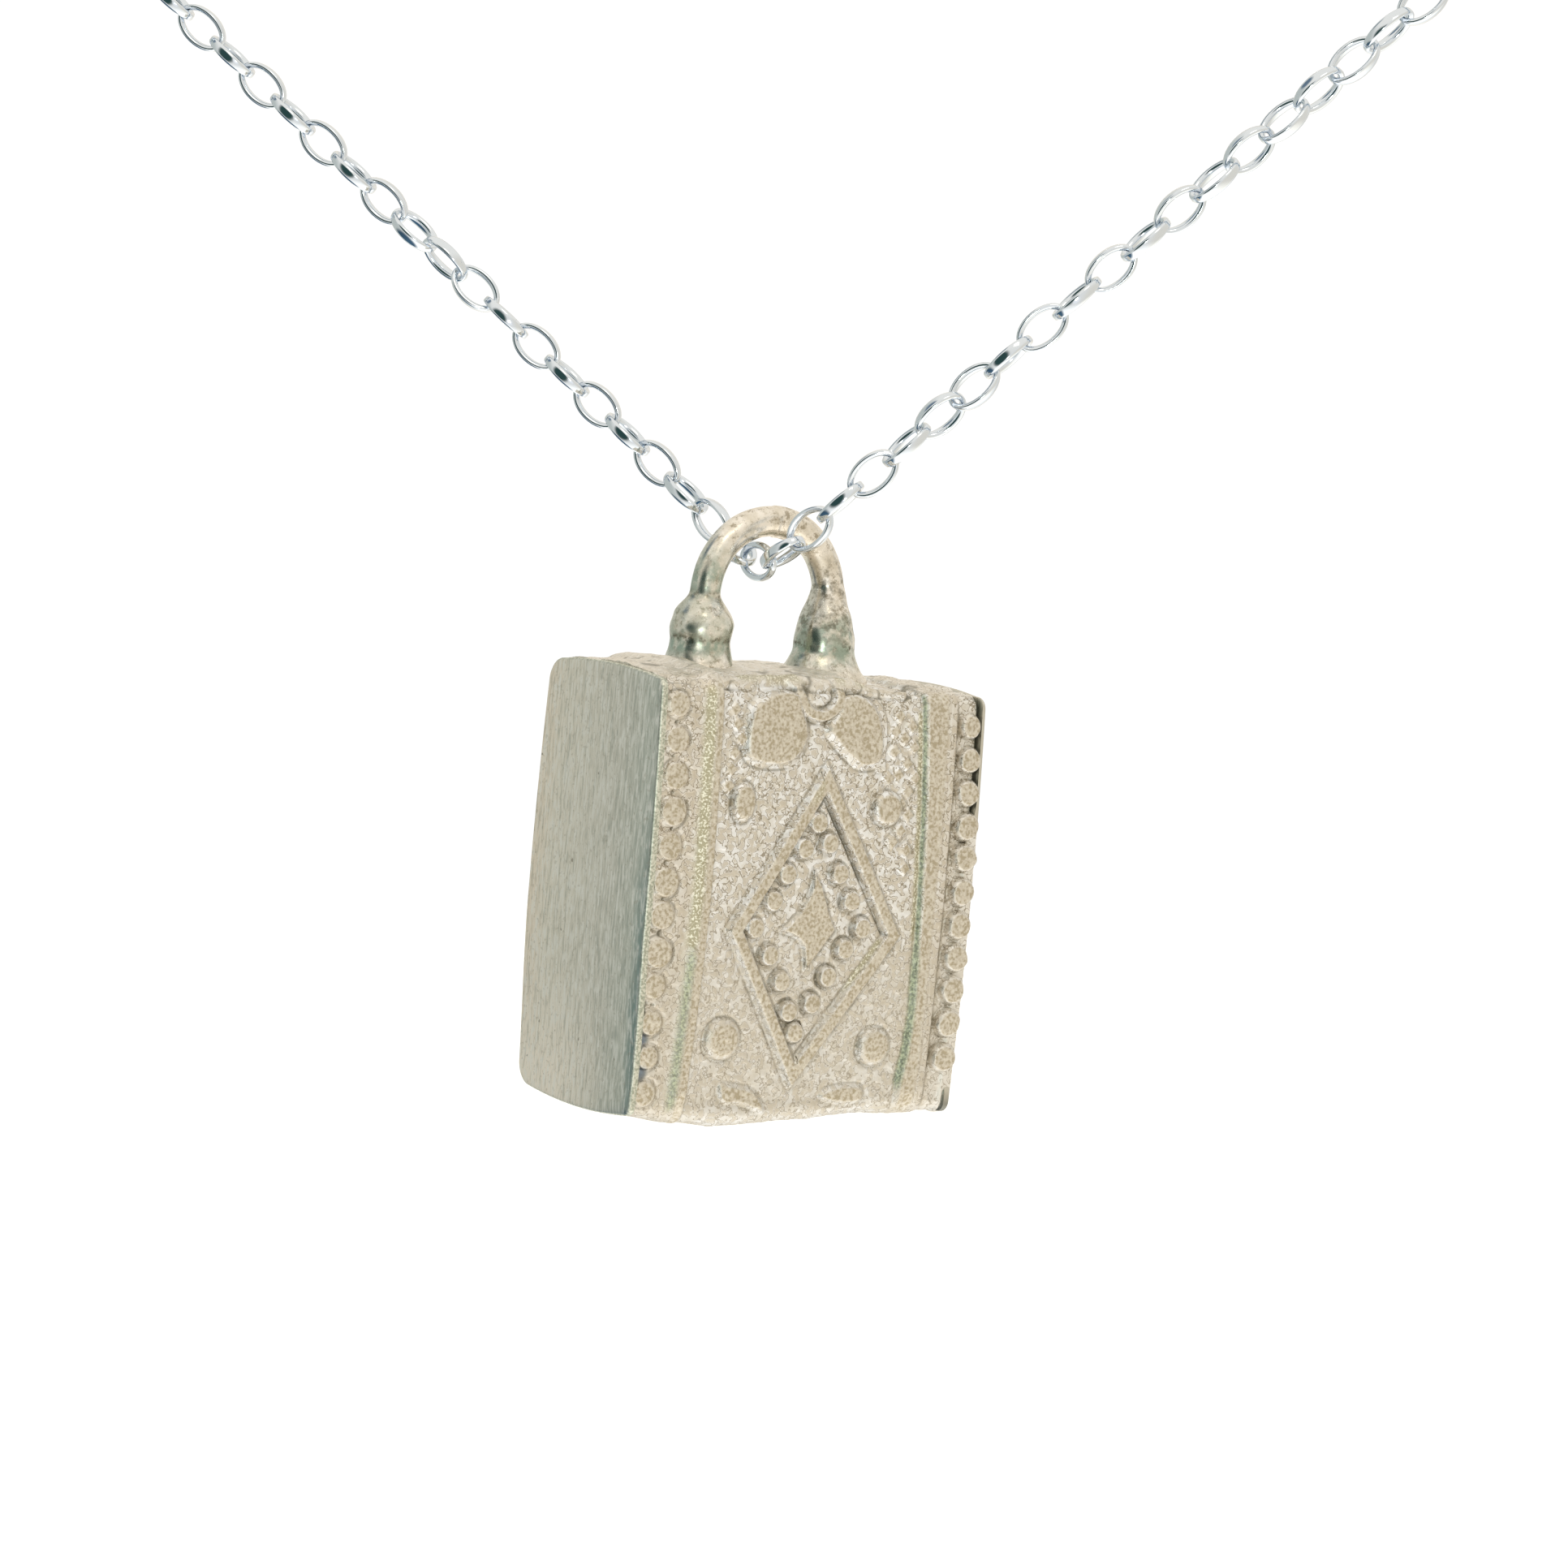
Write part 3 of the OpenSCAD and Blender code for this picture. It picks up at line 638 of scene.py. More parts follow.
# %% [markdown]
# ## The end plates
#
# Each end of the box is closed by a flat plate that stands a little proud of the strip at the front and
# back. It is filed to a rounded rectangle, sharper at the front than at the back, and its outer edge is
# eased. The surface is drawn as rings of its own outline: from the middle out over the face, round the edge
# and back inside.
#
# Fitting by hand moved both plates a little. The left one stands higher at the top and leans in over its
# lower end. The right one is thin near the top of its front edge, where the slot shows beside the beads.
# Lower down it is cut back and pressed out, so that the beads stand past it. Both faces are rubbed away along
# the front edge.

# %% End plates
PLATE_D, PLATE_H, PLATE_T = 9.4, 18.6, 0.4
PLATE_OUT, PLATE_EDGE, PLATE_CORNERS = 8.4, 0.13, (0.45, 1.0)
FACE_INSET, FACE_RINGS = 4.2, 30


def end_caps(rows, columns):
    """The fans that close the first and last row of a grid, to the two points that come after it."""
    rim, pole = np.arange(columns), rows * columns
    return np.vstack([fan(rim, pole, True), fan((rows - 1) * columns + rim, pole + 1)])


def plate(name, side):
    """Rings of the outline shrunk towards the middle, with x stepping over the face, the edge and back, then
    moved by hand fitting. side is 1 for the right plate and -1 for the left one."""
    is_left, is_right = side < 0, side > 0
    y, z = outline(PLATE_D, PLATE_H, CROWNS, *PLATE_CORNERS, (70, 22, 40))[:2]
    turn = np.linspace(0, math.pi / 2, 6)
    inset = np.concatenate([np.linspace(FACE_INSET, PLATE_EDGE, FACE_RINGS, endpoint=False),
                            PLATE_EDGE * (1 - np.sin(turn)), [0.02, 0.1, 0.3, 0.7, 1.2, 2.0]])[:, None]
    depth = np.concatenate([np.zeros(FACE_RINGS), PLATE_EDGE * (1 - np.cos(turn)),
                            [0.32, 0.39], np.full(4, PLATE_T)])[:, None]
    yy = y * (1 - inset / (PLATE_D / 2))
    zz = z * (1 - inset / (PLATE_H / 2)) + 0.23 * ease(z / 8) * is_left
    lean = ease((-zz - 1) / 7) * (0.13 + 0.06 * ease((-yy - 1) / 4)) * is_left
    thin = 0.13 * ease((-yy - 3.4) / 0.5) * ease((zz - 3.6) / 0.9) * is_right
    rubbed = 0.1 * (1 - inset / 0.7).clip(0, 1) ** 2 * ease((-yy - 2) / 2)
    by_beads = within(zz, -8.3, 3.8, 0.6, 0.6) * is_right
    pressed_out = 0.08 * by_beads * ease((-yy - 3) / 1.2)
    xx = side * (PLATE_OUT + pressed_out - np.minimum(depth + rubbed, PLATE_T - thin) - lean)
    yy = yy + 0.22 * by_beads * ease((-yy - 3.9) / 0.4)
    points = np.vstack([np.stack([xx, yy, zz], -1).reshape(-1, 3),
                        [[side * PLATE_OUT, 0, 0], [side * (PLATE_OUT - PLATE_T), 0, 0]]])
    edge = np.append(inset + 0 * yy, [FACE_INSET, FACE_INSET])
    return make_piece(name, hang(points), cells(*xx.shape, columns_ring=True), end_caps(*xx.shape),
                      {"box_mm": points, "edge": edge})


plates = [plate("end_plate_left", -1), plate("end_plate_right", 1)]

# %% [markdown]
# ## The bail
#
# A length of round wire is bent to an arch. At each end it carries a ball and a collar, soldered to a foot
# that flares out on the top of the box. Solder has run over the joints and softened them: the left leg still
# shows a full ball, and the right one has filled up to a cone. The bail is one line from foot to foot with a
# circle round it, and the circle's radius at each height was measured off the photograph.

# %% Bail
BAIL_X, BAIL_R, BAIL_Z = -0.6, 3.13, 12.72
LEG_FROM = 8.5
left_profile = [(8.5, 1.75), (9.4, 1.68), (9.6, 1.53), (9.92, 1.41), (10.15, 1.33), (10.5, 1.27),
                (10.65, 1.262), (10.9, 1.3), (11.2, 1.335), (11.4, 1.32), (11.78, 1.2), (12.07, 1.0),
                (12.37, 0.76), (12.55, 0.67), (12.72, 0.65)]
right_profile = [(8.5, 2.05), (9.4, 1.95), (9.6, 1.74), (9.92, 1.54), (10.2, 1.4), (10.4, 1.33),
                 (10.65, 1.31), (11.0, 1.29), (11.3, 1.24), (11.78, 1.14), (12.1, 1.05), (12.4, 0.93),
                 (12.8, 0.81), (13.3, 0.69)]


def leg_radius(z, profile):
    """The radius at a height, averaged over a fifth of a millimetre so that no corner is left."""
    return sum(table(z + shift, profile) for shift in np.linspace(-0.1, 0.1, 9)) / 9


leg, arch = BAIL_Z - LEG_FROM, math.pi * BAIL_R
along = np.concatenate([np.linspace(0, leg, 130, endpoint=False),
                        np.linspace(leg, leg + arch, 110, endpoint=False),
                        np.linspace(leg + arch, 2 * leg + arch, 130)])
angle = ((along - leg) / BAIL_R).clip(0, math.pi)
on_left = along < leg + arch / 2
height = np.minimum(along, 2 * leg + arch - along) + LEG_FROM
x = BAIL_X - BAIL_R * np.cos(angle)
z = BAIL_Z + BAIL_R * np.sin(angle) + np.minimum(along - leg, 0) - np.maximum(along - leg - arch, 0)
under_wire, in_foot = 1 - ease((height - 11.6) / 1.8), 1 - ease((height - 9.4) / 0.8)
x += np.where(on_left, -0.06, 0.03) * under_wire + 0.07 * in_foot
radius = np.where(on_left, leg_radius(height, left_profile), leg_radius(height, right_profile))[:, None]

# %% The bail's skin
turns = np.linspace(0, 2 * math.pi, 64, endpoint=False)
up_leg, left_leg = height[:, None], on_left[:, None]
lumps = grain(np.cos(turns) * 1.3, up_leg, 0.5, 11) + grain(np.sin(turns) * 1.3, up_leg, 0.6, 12)
radius = radius + lumps * (0.006 + 0.03 * (1 - ease((up_leg - 12.0) / 0.8)))
outward = np.stack([-np.cos(angle), 0 * angle, np.sin(angle)], -1)
circle = outward[:, None] * np.cos(turns)[:, None] + np.array([0, 1.0, 0]) * np.sin(turns)[:, None]
placed = np.stack([x, 0 * x, z], -1)[:, None] + circle * radius[..., None]
points = np.vstack([placed.reshape(-1, 3), [[x[0], 0, LEG_FROM], [x[-1], 0, LEG_FROM]]])

# %% [markdown]
# Fire and solder have left their stains on the bail: a dark band where the wire enters the left ball, a line
# round the waist under each ball, a cloud over the right cone and the wire above it, and smudges on the feet.
# A green tint lies on both waists and balls and on the left wire: painted shade in the waists under the
# balls, and a painted reflection of teal surroundings on the balls and the left wire. They follow the height
# on the leg, so they are worked out here and kept with the points, and the finish breaks them up.

# %% Stains of the bail, and its green painted shade and reflection
stained_at = up_leg + 0.05 * lumps
dark_band = bell((stained_at - 12.6) / 0.18) * left_leg
waist_line = bell((stained_at - 10.74) / 0.16)
cloud = bell((stained_at - 11.6) / 0.7) * ~left_leg
right_wire = bell((stained_at - 13.4) / 1.2) * ~left_leg
left_wire = bell((stained_at - 13.2) / 1.1) * left_leg
smudge = bell((stained_at - 9.9) / 0.5)
waist, ball = bell((stained_at - 10.4) / 0.5), bell((stained_at - 11.3) / 0.6)
stain = np.clip(0.75 * dark_band + 0.9 * waist_line + 0.6 * cloud + 0.6 * right_wire + 0.25 * smudge, 0, 1)
# painted shade in the waists and painted reflection on the balls and the left wire, in green
green = np.clip(waist + 0.45 * cloud + 0.9 * left_wire + 0.4 * ball, 0, 1)
bail = make_piece("bail", hang(points), cells(*radius.shape, columns_ring=True), end_caps(*radius.shape),
                  {"box_mm": points, "stain": np.append(stain.ravel(), [0.0, 0.0]),
                   "green": np.append(green.ravel(), [0.0, 0.0])})

# %% [markdown]
# ## The line of the chain
#
# A hanging chain is a V at the pendant and a circle round the neck. It is laid out flat first: a soft V
# whose arms run into a circle of 60.7 mm radius. The flat sheet then hangs steeply in front of the chest and
# bends back over the shoulders to the nape, where the frame has its origin. Near the pendant the turned bail
# draws one arm forward and the other back.

# %% The chain's line
NECK_R = 60.7
V_HALF, V_ROUND = math.radians(48), 0.6
FRONT_SLOPE, NAPE_SLOPE = math.radians(84), math.radians(15)
FRONT_RUN, BEND_R = 28, 40
ASIDE, ASIDE_FADE = 3.0, 30
meet = NECK_R * math.cos(V_HALF)
centre_v = NECK_R / math.sin(V_HALF) - V_ROUND / math.tan(V_HALF)
bend_run = BEND_R * (FRONT_SLOPE - NAPE_SLOPE)


def bent(v):
    """The sheet's (y, z) at a distance v up it: straight, then an arc of the bend's radius, then straight."""
    slope = FRONT_SLOPE - min(max(v - FRONT_RUN, 0), bend_run) / BEND_R
    low, past = min(v, FRONT_RUN), max(0, v - FRONT_RUN - bend_run)
    y = low * math.cos(FRONT_SLOPE) + BEND_R * (math.sin(FRONT_SLOPE) - math.sin(slope))
    z = low * math.sin(FRONT_SLOPE) + BEND_R * (math.cos(slope) - math.cos(FRONT_SLOPE))
    return y + past * math.cos(NAPE_SLOPE), z + past * math.sin(NAPE_SLOPE)


nape_y, nape_z = bent(centre_v + NECK_R)


def on_chain(t, side):
    """The chain's point at t along one side, which is 1 at the wearer's left and -1 at the right."""
    if t < meet:
        u, v = t, (math.hypot(t, V_ROUND) - V_ROUND) / math.tan(V_HALF)
    else:
        angle = V_HALF - (t - meet) / NECK_R
        u, v = NECK_R * math.cos(angle), centre_v - NECK_R * math.sin(angle)
    y, z = bent(v)
    shift = -ASIDE * math.tanh(t / ASIDE) * math.exp(-(t / ASIDE_FADE) ** 2)
    return np.array([side * u, y - nape_y + side * shift, z - nape_z])


# %% Places of the joints between links
PITCH_OF_LINKS = 1.86
LINKS = 105

t_first = PITCH_OF_LINKS / 3
for _ in range(12):
    t_first += (PITCH_OF_LINKS - np.linalg.norm(on_chain(t_first, 1) - on_chain(t_first, -1))) / 3


def joints(side):
    """Points one pitch apart: each is found by moving t until the straight distance is a pitch."""
    t, found = t_first, [on_chain(t_first, side)]
    for _ in range(LINKS):
        guess = t + PITCH_OF_LINKS / 1.3
        for _ in range(9):
            guess += PITCH_OF_LINKS - np.linalg.norm(on_chain(guess, side) - on_chain(t, side))
        t = guess
        found.append(on_chain(t, side))
    return np.array(found)


right_joints, left_joints = joints(1), joints(-1)
print("first joint, mm:", right_joints[0].round(3))
print("last joints, mm:", right_joints[-1].round(3), left_joints[-1].round(3))

# %% [markdown]
# ## The links
#
# A cable chain is wire wound on an oval rod, cut, and each ring linked through the last, at right angles to
# it. Drawing the finished chain through a plate presses the links' sides a little flat, which gives each
# its bright stripe. One link is worked out once, and a turn and a place for every link are applied to it as
# one array. The links in view have more points than those that go round the neck, and the one through the
# bail is left round.

# %% One link, and many
LINK_L, LINK_W, LINK_WIRE = 2.63, 1.74, 0.33


def one_link(around_count, wire_count, length, width, wire, pressed=1.0):
    """A circle of wire carried along an oval. The wire's outer side is pressed flat, and its two long sides
    are broader than the ends. pressed is 0 for a link that is left round."""
    t = np.linspace(0, 2 * math.pi, around_count, endpoint=False)
    long, short = (length - wire) / 2, (width - wire) / 2
    oval = np.stack([long * np.sin(t), -short * np.cos(t), 0 * t], -1)
    outward = np.stack([np.sin(t) / long, -np.cos(t) / short, 0 * t], -1)
    outward /= np.linalg.norm(outward, axis=1, keepdims=True)
    turns = np.linspace(0, 2 * math.pi, wire_count, endpoint=False)
    press = np.clip(np.cos(turns), -1, 1 - 0.36 * pressed)
    broad = 1 + 0.5 * pressed * np.cos(t) ** 2
    aside = np.array([0, 0, 1.0]) * (broad[:, None] * np.sin(turns))[..., None]
    ring = outward[:, None] * press[:, None] + aside
    return (oval[:, None] + ring * wire / 2).reshape(-1, 3)


def between(a, b, rolled):
    """The turn of a link from a to b, X along it, rolled about it: roll first, then rise, then swing."""
    d = b - a
    rise = -math.atan2(d[2], math.hypot(d[0], d[1]))
    return turn_about(2, math.atan2(d[1], d[0])) @ turn_about(1, rise) @ turn_about(0, rolled)


def roll(k, side):
    """A link's roll: quarter turns that alternate, and two slow quarter turns of the whole chain, which lie
    about a first and a second link's number."""
    first, second = (6.5, 17) if side > 0 else (11, 60)
    first_turn, second_turn = 1 / (1 + math.exp(first - k)), 1 / (1 + math.exp((second - k) / 3))
    return math.pi / 2 * (k % 2 + 1 + first_turn + second_turn)


def links(name, ends, sides, numbers, counts, pressed=1.0):
    """All links of a stretch as one mesh: the one link, turned and placed by arrays. counts are the points
    along the oval and round the wire."""
    link = one_link(*counts, LINK_L, LINK_W, LINK_WIRE, pressed)
    turns = np.array([between(a, b, roll(k, side)) for (a, b), side, k in zip(ends, sides, numbers)])
    places = np.array([(a + b) / 2 for a, b in ends])
    points = (places[:, None] + np.einsum("kij,pj->kpi", turns, link)) * MM
    grid = cells(*counts, True, True)
    faces = grid[None] + (np.arange(len(ends)) * len(link))[:, None, None]
    along = np.repeat(np.array(numbers, float), len(link))
    return make_piece(name, points.reshape(-1, 3), faces.reshape(-1, 4), marks={"link": along})


# %% Both sides of the chain
IN_VIEW = 34
FINE_LINK, PLAIN_LINK = (36, 12), (16, 6)


def stretch(joints_of_side, first, last):
    """The two ends of each link from number first to number last."""
    return [(joints_of_side[k - 1], joints_of_side[k]) for k in range(first, last + 1)]


def arm(name, joints_of_side, side):
    """One arm of the chain as two pieces: the links in view, and the others."""
    near, far = range(1, IN_VIEW + 1), range(IN_VIEW + 1, LINKS + 1)
    return [
        links(f"links_{name}_near", stretch(joints_of_side, 1, IN_VIEW), [side] * len(near), near, FINE_LINK),
        links(f"links_{name}_far", stretch(joints_of_side, IN_VIEW + 1, LINKS), [side] * len(far), far,
              PLAIN_LINK),
    ]


middle_link = links("link_middle", [(left_joints[0], right_joints[0])], [1], [0], FINE_LINK, 0.0)
chain_pieces = {"chain_right": [middle_link, *arm("right", right_joints, 1)],
                "chain_left": arm("left", left_joints, -1)}

# %% [markdown]
# ## Colours and nodes
#
# A colour is read off a colour chart as a hex value, and Blender wants linear light, so one function turns
# one into the other. One more function adds a node with its settings and its links, which is all that a
# material needs.

# %% Helpers for materials
def colour(hexa):
    """sRGB hex to linear light with an alpha of 1: the usual curve, a straight foot and a power of 2.4."""
    c = np.array([int(hexa[k:k + 2], 16) / 255 for k in (1, 3, 5)])
    linear = np.where(c <= 0.04045, c / 12.92, ((c + 0.055) / 1.055) ** 2.4)
    return (*linear.tolist(), 1.0)


def add(tree, kind, inputs=None, **settings):
    """Adds a node. settings are its own, and inputs are sockets by name or number: a value or an output."""
    new = tree.nodes.new("ShaderNode" + kind)
    for name, value in settings.items():
        setattr(new, name, value)
    for key, value in (inputs or {}).items():
        if isinstance(value, bpy.types.NodeSocket):
            tree.links.new(value, new.inputs[key])
        else:
            new.inputs[key].default_value = value
    return new


def blank(name):
    """A new material with an empty tree and its output."""
    material = bpy.data.materials.new(name)
    material.use_nodes = True
    material.node_tree.nodes.clear()
    return material, material.node_tree, add(material.node_tree, "OutputMaterial")


# %% [markdown]
# ## Cast satin silver
#
# The strip is silver, cast, then brushed with a soft wheel. Wear keeps the tops smooth and warm, and the
# ground keeps the fine pitted skin of the casting, which is paler. The lines and hollows are darkened with
# brown tarnish and painted shade, a painted reflection of dark green surroundings lies beside the ridges,
# some edges carry painted glints, and two pockets a painted reflection of something cold. The mesh carries
# all of these as marks, so the finish follows the form, and noise in the box's own millimetres breaks them
# up.

# %% Helpers for a finish
def mark(tree, name, output="Fac"):
    """A mark that the mesh carries at its points."""
    return add(tree, "Attribute", attribute_name=name).outputs[output]


def noise(tree, place, scale, detail=2.0, roughness=0.5):
    """Smooth noise: scale is how many bumps lie on one unit of the place, a millimetre for box_mm."""
    return add(tree, "TexNoise", {"Vector": place, "Scale": scale, "Detail": detail,
                                  "Roughness": roughness}).outputs["Fac"]


def spread(tree, value, low, high, to_low=0.0, to_high=1.0):
    """Maps the range from low to high onto another one and clips what lies outside."""
    return add(tree, "MapRange", {"Value": value, "From Min": low, "From Max": high, "To Min": to_low,
                                  "To Max": to_high}).outputs["Result"]


def calculate(tree, operation, *values):
    """A sum with one to three values, each a number or an output, in the order that the operation takes."""
    return add(tree, "Math", dict(enumerate(values)), operation=operation).outputs["Value"]


def blend(tree, factor, first, second):
    """A mix of two colours; a colour may be a hex value or an output."""
    first, second = (colour(c) if isinstance(c, str) else c for c in (first, second))
    return add(tree, "Mix", {"Factor": factor, "A": first, "B": second}, data_type="RGBA").outputs["Result"]


def tilted(tree, height, strength, distance):
    """The surface's direction, tilted as if its height varied by a share of a distance in metres."""
    bump = add(tree, "Bump", {"Height": height, "Strength": strength, "Distance": distance})
    return bump.outputs["Normal"]


def metal(tree, output, tone, rough, normal=None):
    """A bare metal of one tone and roughness, joined to the output of its tree."""
    inputs = {"Base Color": tone, "Metallic": 1.0, "Roughness": rough}
    if normal is not None:
        inputs["Normal"] = normal
    shader = add(tree, "BsdfPrincipled", inputs)
    tree.links.new(shader.outputs[0], output.inputs["Surface"])


# %% The ground of the casting
cast_silver, tree, output = blank("cast_satin_silver")
place = mark(tree, "box_mm", "Vector")
parts = add(tree, "SeparateXYZ", {"Vector": place}).outputs
mottle = noise(tree, place, 1.6, 3.0, 0.6)
speck = noise(tree, place, 7.0, 2.0)
curl = noise(tree, place, 3.9, 1.5)
isles = spread(tree, curl, 0.54, 0.59, 0.0, 0.65)
curls = spread(tree, calculate(tree, "ABSOLUTE", calculate(tree, "SUBTRACT", curl, 0.5)), 0.04, 0.012)
ground = blend(tree, spread(tree, mottle, 0.42, 0.62), "#F7F7F7", "#E8E4DC")
ground = blend(tree, spread(tree, speck, 0.6, 0.7, 0.0, 0.8), ground, "#F4F2EC")

# %% [markdown]
# The ground isn't alike all over. Outside the ridges it is a little browner, low down it is darker and
# calmer, and beside the right plate it is pale. Small islands of it are rubbed brown, and the worm tracks
# between them stay dark: they lie where the noise passes through its middle value.

# %% How the ground changes over the front
across = calculate(tree, "ABSOLUTE", parts["X"])
ground = blend(tree, spread(tree, across, 5.1, 5.6, 0.0, 0.6), ground, "#E2DACD")
ground = blend(tree, isles, ground, "#CFC4B0")
low_down = spread(tree, parts["Z"], 1.0, -4.0)
ground = blend(tree, calculate(tree, "MULTIPLY", low_down, 0.4), ground, "#D8D1C3")
ground = blend(tree, spread(tree, parts["X"], 7.0, 7.4, 0.0, 0.5), ground, "#F6F4EF")
calmer = spread(tree, low_down, 0.0, 1.0, 0.85, 0.6)
ground = blend(tree, calculate(tree, "MULTIPLY", curls, calmer), ground, "#9A8D76")

# %% Worn tops, painted light on the top face, painted shade in lines and hollows, glints and reflections
worn = mark(tree, "worn")
tops = blend(tree, spread(tree, speck, 0.4, 0.5), "#BDB29B", "#D9D1C2")
tops = blend(tree, spread(tree, speck, 0.55, 0.64), tops, "#E6E0D2")
base = blend(tree, worn, ground, tops)
# painted light: the top face, from 9 to 9.7 mm up, is made lighter where it faces the light above
base = blend(tree, spread(tree, parts["Z"], 9.0, 9.7, 0.0, 0.6), base, "#F8F2E8")
# painted shade: places under the average round them are darkened by the depth mark
base = blend(tree, spread(tree, mark(tree, "depth"), 0.2, 1.5, 0.0, 0.42), base, "#8C8672")
# painted shade with tarnish: the tooled lines and the creases are darkened
base = blend(tree, spread(tree, mark(tree, "line"), 0.25, 1.0, 0.0, 0.75), base, "#6E6A5B")
# painted highlight: the glint mark mixes in a bright cream glitter
glitter = blend(tree, spread(tree, noise(tree, place, 11.0, 1.0), 0.5, 0.63), "#B4AD90", "#FBF8E6")
base = blend(tree, spread(tree, mark(tree, "glint"), 0.15, 0.8, 0.0, 0.85), base, glitter)
# painted reflection: the green mark tints the ridges' slopes with the dark green surroundings
painted_green_reflection = blend(tree, spread(tree, noise(tree, place, 9.0, 1.0), 0.43, 0.6), "#6F8068", "#BAC7A5")
base = blend(tree, spread(tree, mark(tree, "green"), 0.1, 0.9, 0.0, 0.7), base, painted_green_reflection)
# painted reflection: a cold blue-grey in the two pockets
base = blend(tree, spread(tree, mark(tree, "painted_cold_reflection"), 0.2, 0.8, 0.0, 0.75), base, "#8792A0")
rough = spread(tree, worn, 0.0, 1.0, 0.5, 0.42)
metal(tree, output, base, rough, tilted(tree, calculate(tree, "ADD", curl, speck), 0.6, 0.00003))

# %% [markdown]
# ## Brushed silver
#
# The end plates were drawn over abrasive paper from top to bottom. Each grit leaves a fine line, so the
# noise is stretched along the height of the box: about a tenth of a millimetre wide and one long, with finer
# lines inside, and broader, shorter strokes among them. The plate is warm along its back edge and in its low
# back corner. Its cooler tone towards the front, teal low down, is a painted reflection of cool surroundings.
# Small brown pits are scattered over it.

# %% The plate's tone from back to front
brushed_silver, tree, output = blank("brushed_silver")
place = mark(tree, "box_mm", "Vector")
parts = add(tree, "SeparateXYZ", {"Vector": place}).outputs
blotch = noise(tree, place, 0.6, 3.0, 0.6)
toward_front = calculate(tree, "ADD", parts["Y"], blotch)
tone = blend(tree, spread(tree, toward_front, 3.6, -1.2), "#F0E7D8", "#DCD7CB")
# painted reflection: the tone turns cooler towards the front
tone = blend(tree, spread(tree, toward_front, -1.2, -4.2), tone, "#C6CAC0")
tone = blend(tree, spread(tree, parts["Y"], 3.0, 4.4, 0.0, 0.6), tone, "#FFEBD6")
# painted reflection: a teal tone low down at the front
painted_teal_reflection = calculate(tree, "MULTIPLY", spread(tree, parts["Z"], 5.0, -3.0),
                      spread(tree, toward_front, -3.3, -4.0))
tone = blend(tree, painted_teal_reflection, tone, "#8FA39E")
low_back = calculate(tree, "MULTIPLY", spread(tree, parts["Z"], -3.5, -8.0),
                     spread(tree, toward_front, -2.0, 1.6))
tone = blend(tree, low_back, tone, "#FFF3E4")

# %% Brush lines, strokes and pits
drawn = add(tree, "Mapping", {"Vector": place, "Scale": (1.0, 9.0, 1.1)}).outputs["Vector"]
short = add(tree, "Mapping", {"Vector": place, "Scale": (1.0, 4.6, 2.0)}).outputs["Vector"]
lines = noise(tree, drawn, 1.0, 3.0, 0.6)
tone = blend(tree, spread(tree, lines, 0.5, 0.66, 0.0, 0.65), tone, "#F6F4EE")
tone = blend(tree, spread(tree, lines, 0.5, 0.34, 0.0, 0.4), tone, "#8C9790")
tone = blend(tree, spread(tree, noise(tree, short, 1.0, 1.0), 0.56, 0.7, 0.0, 0.55), tone, "#F4F1EA")
tone = blend(tree, spread(tree, noise(tree, place, 6.0, 2.0), 0.6, 0.68, 0.0, 0.3), tone, "#A39B88")
tone = blend(tree, spread(tree, noise(tree, place, 2.6, 1.0), 0.24, 0.2, 0.0, 0.6), tone, "#7A6F5C")

# %% [markdown]
# The rim of each plate is filed, so it has its own tone: flecked on the left plate, even on the right one,
# whose lowest corner is dark.

# %% The filed rim
rim = spread(tree, mark(tree, "edge"), 0.11, 0.02)
flecks = spread(tree, noise(tree, place, 9.0, 1.0), 0.4, 0.6)
flecked_rim = blend(tree, flecks, "#B2B6A6", "#E2E2D4")
right_end = spread(tree, parts["X"], -1.0, 1.0)
tone = blend(tree, rim, tone, blend(tree, right_end, flecked_rim, "#CFCABC"))
low_corner = calculate(tree, "MULTIPLY", right_end, spread(tree, parts["Z"], -8.1, -8.7, 0.0, 0.8))
tone = blend(tree, low_corner, tone, "#7F8079")
metal(tree, output, tone, 0.42, tilted(tree, lines, 0.5, 0.00002))

# %% [markdown]
# ## Drawn wire and bright links
#
# The bail is drawn wire, rubbed to a satin by the chain, with fire stain left round the solder of the balls.
# The links are tumbled with steel shot until they are bright, so they mirror whatever stands round them.

# %% Satin wire
satin_wire, tree, output = blank("satin_drawn_silver")
place = mark(tree, "box_mm", "Vector")
blotch = noise(tree, place, 1.3, 4.0, 0.6)
tone = blend(tree, spread(tree, blotch, 0.4, 0.62), "#F8F1E6", "#E2D9C9")
tone = blend(tree, spread(tree, noise(tree, place, 2.4, 5.0, 0.8), 0.52, 0.62, 0.0, 0.75), tone, "#93866D")
cloudy = spread(tree, noise(tree, place, 1.7, 4.0, 0.65), 0.4, 0.56, 0.25, 1.0)
# painted shade and painted reflection: the green mark tints the waists, the balls and the left wire
tone = blend(tree, calculate(tree, "MULTIPLY", mark(tree, "green"), cloudy), tone, "#A4B2A4")
broken = spread(tree, noise(tree, place, 3.2, 4.0, 0.7), 0.45, 0.6)
tone = blend(tree, calculate(tree, "MULTIPLY", mark(tree, "stain"), broken), tone, "#66614F")
rough = spread(tree, blotch, 0.3, 0.7, 0.2, 0.32)
metal(tree, output, tone, rough, tilted(tree, noise(tree, place, 4.0, 3.0), 0.4, 0.00002))

# %% Bright links
BUMPS_PER_METRE = 900.0
bright_silver, tree, output = blank("tumbled_bright_silver")
place = add(tree, "TexCoord").outputs["Object"]
rough = spread(tree, noise(tree, place, BUMPS_PER_METRE), 0.3, 0.7, 0.04, 0.1)
metal(tree, output, colour("#E0E6ED"), rough)

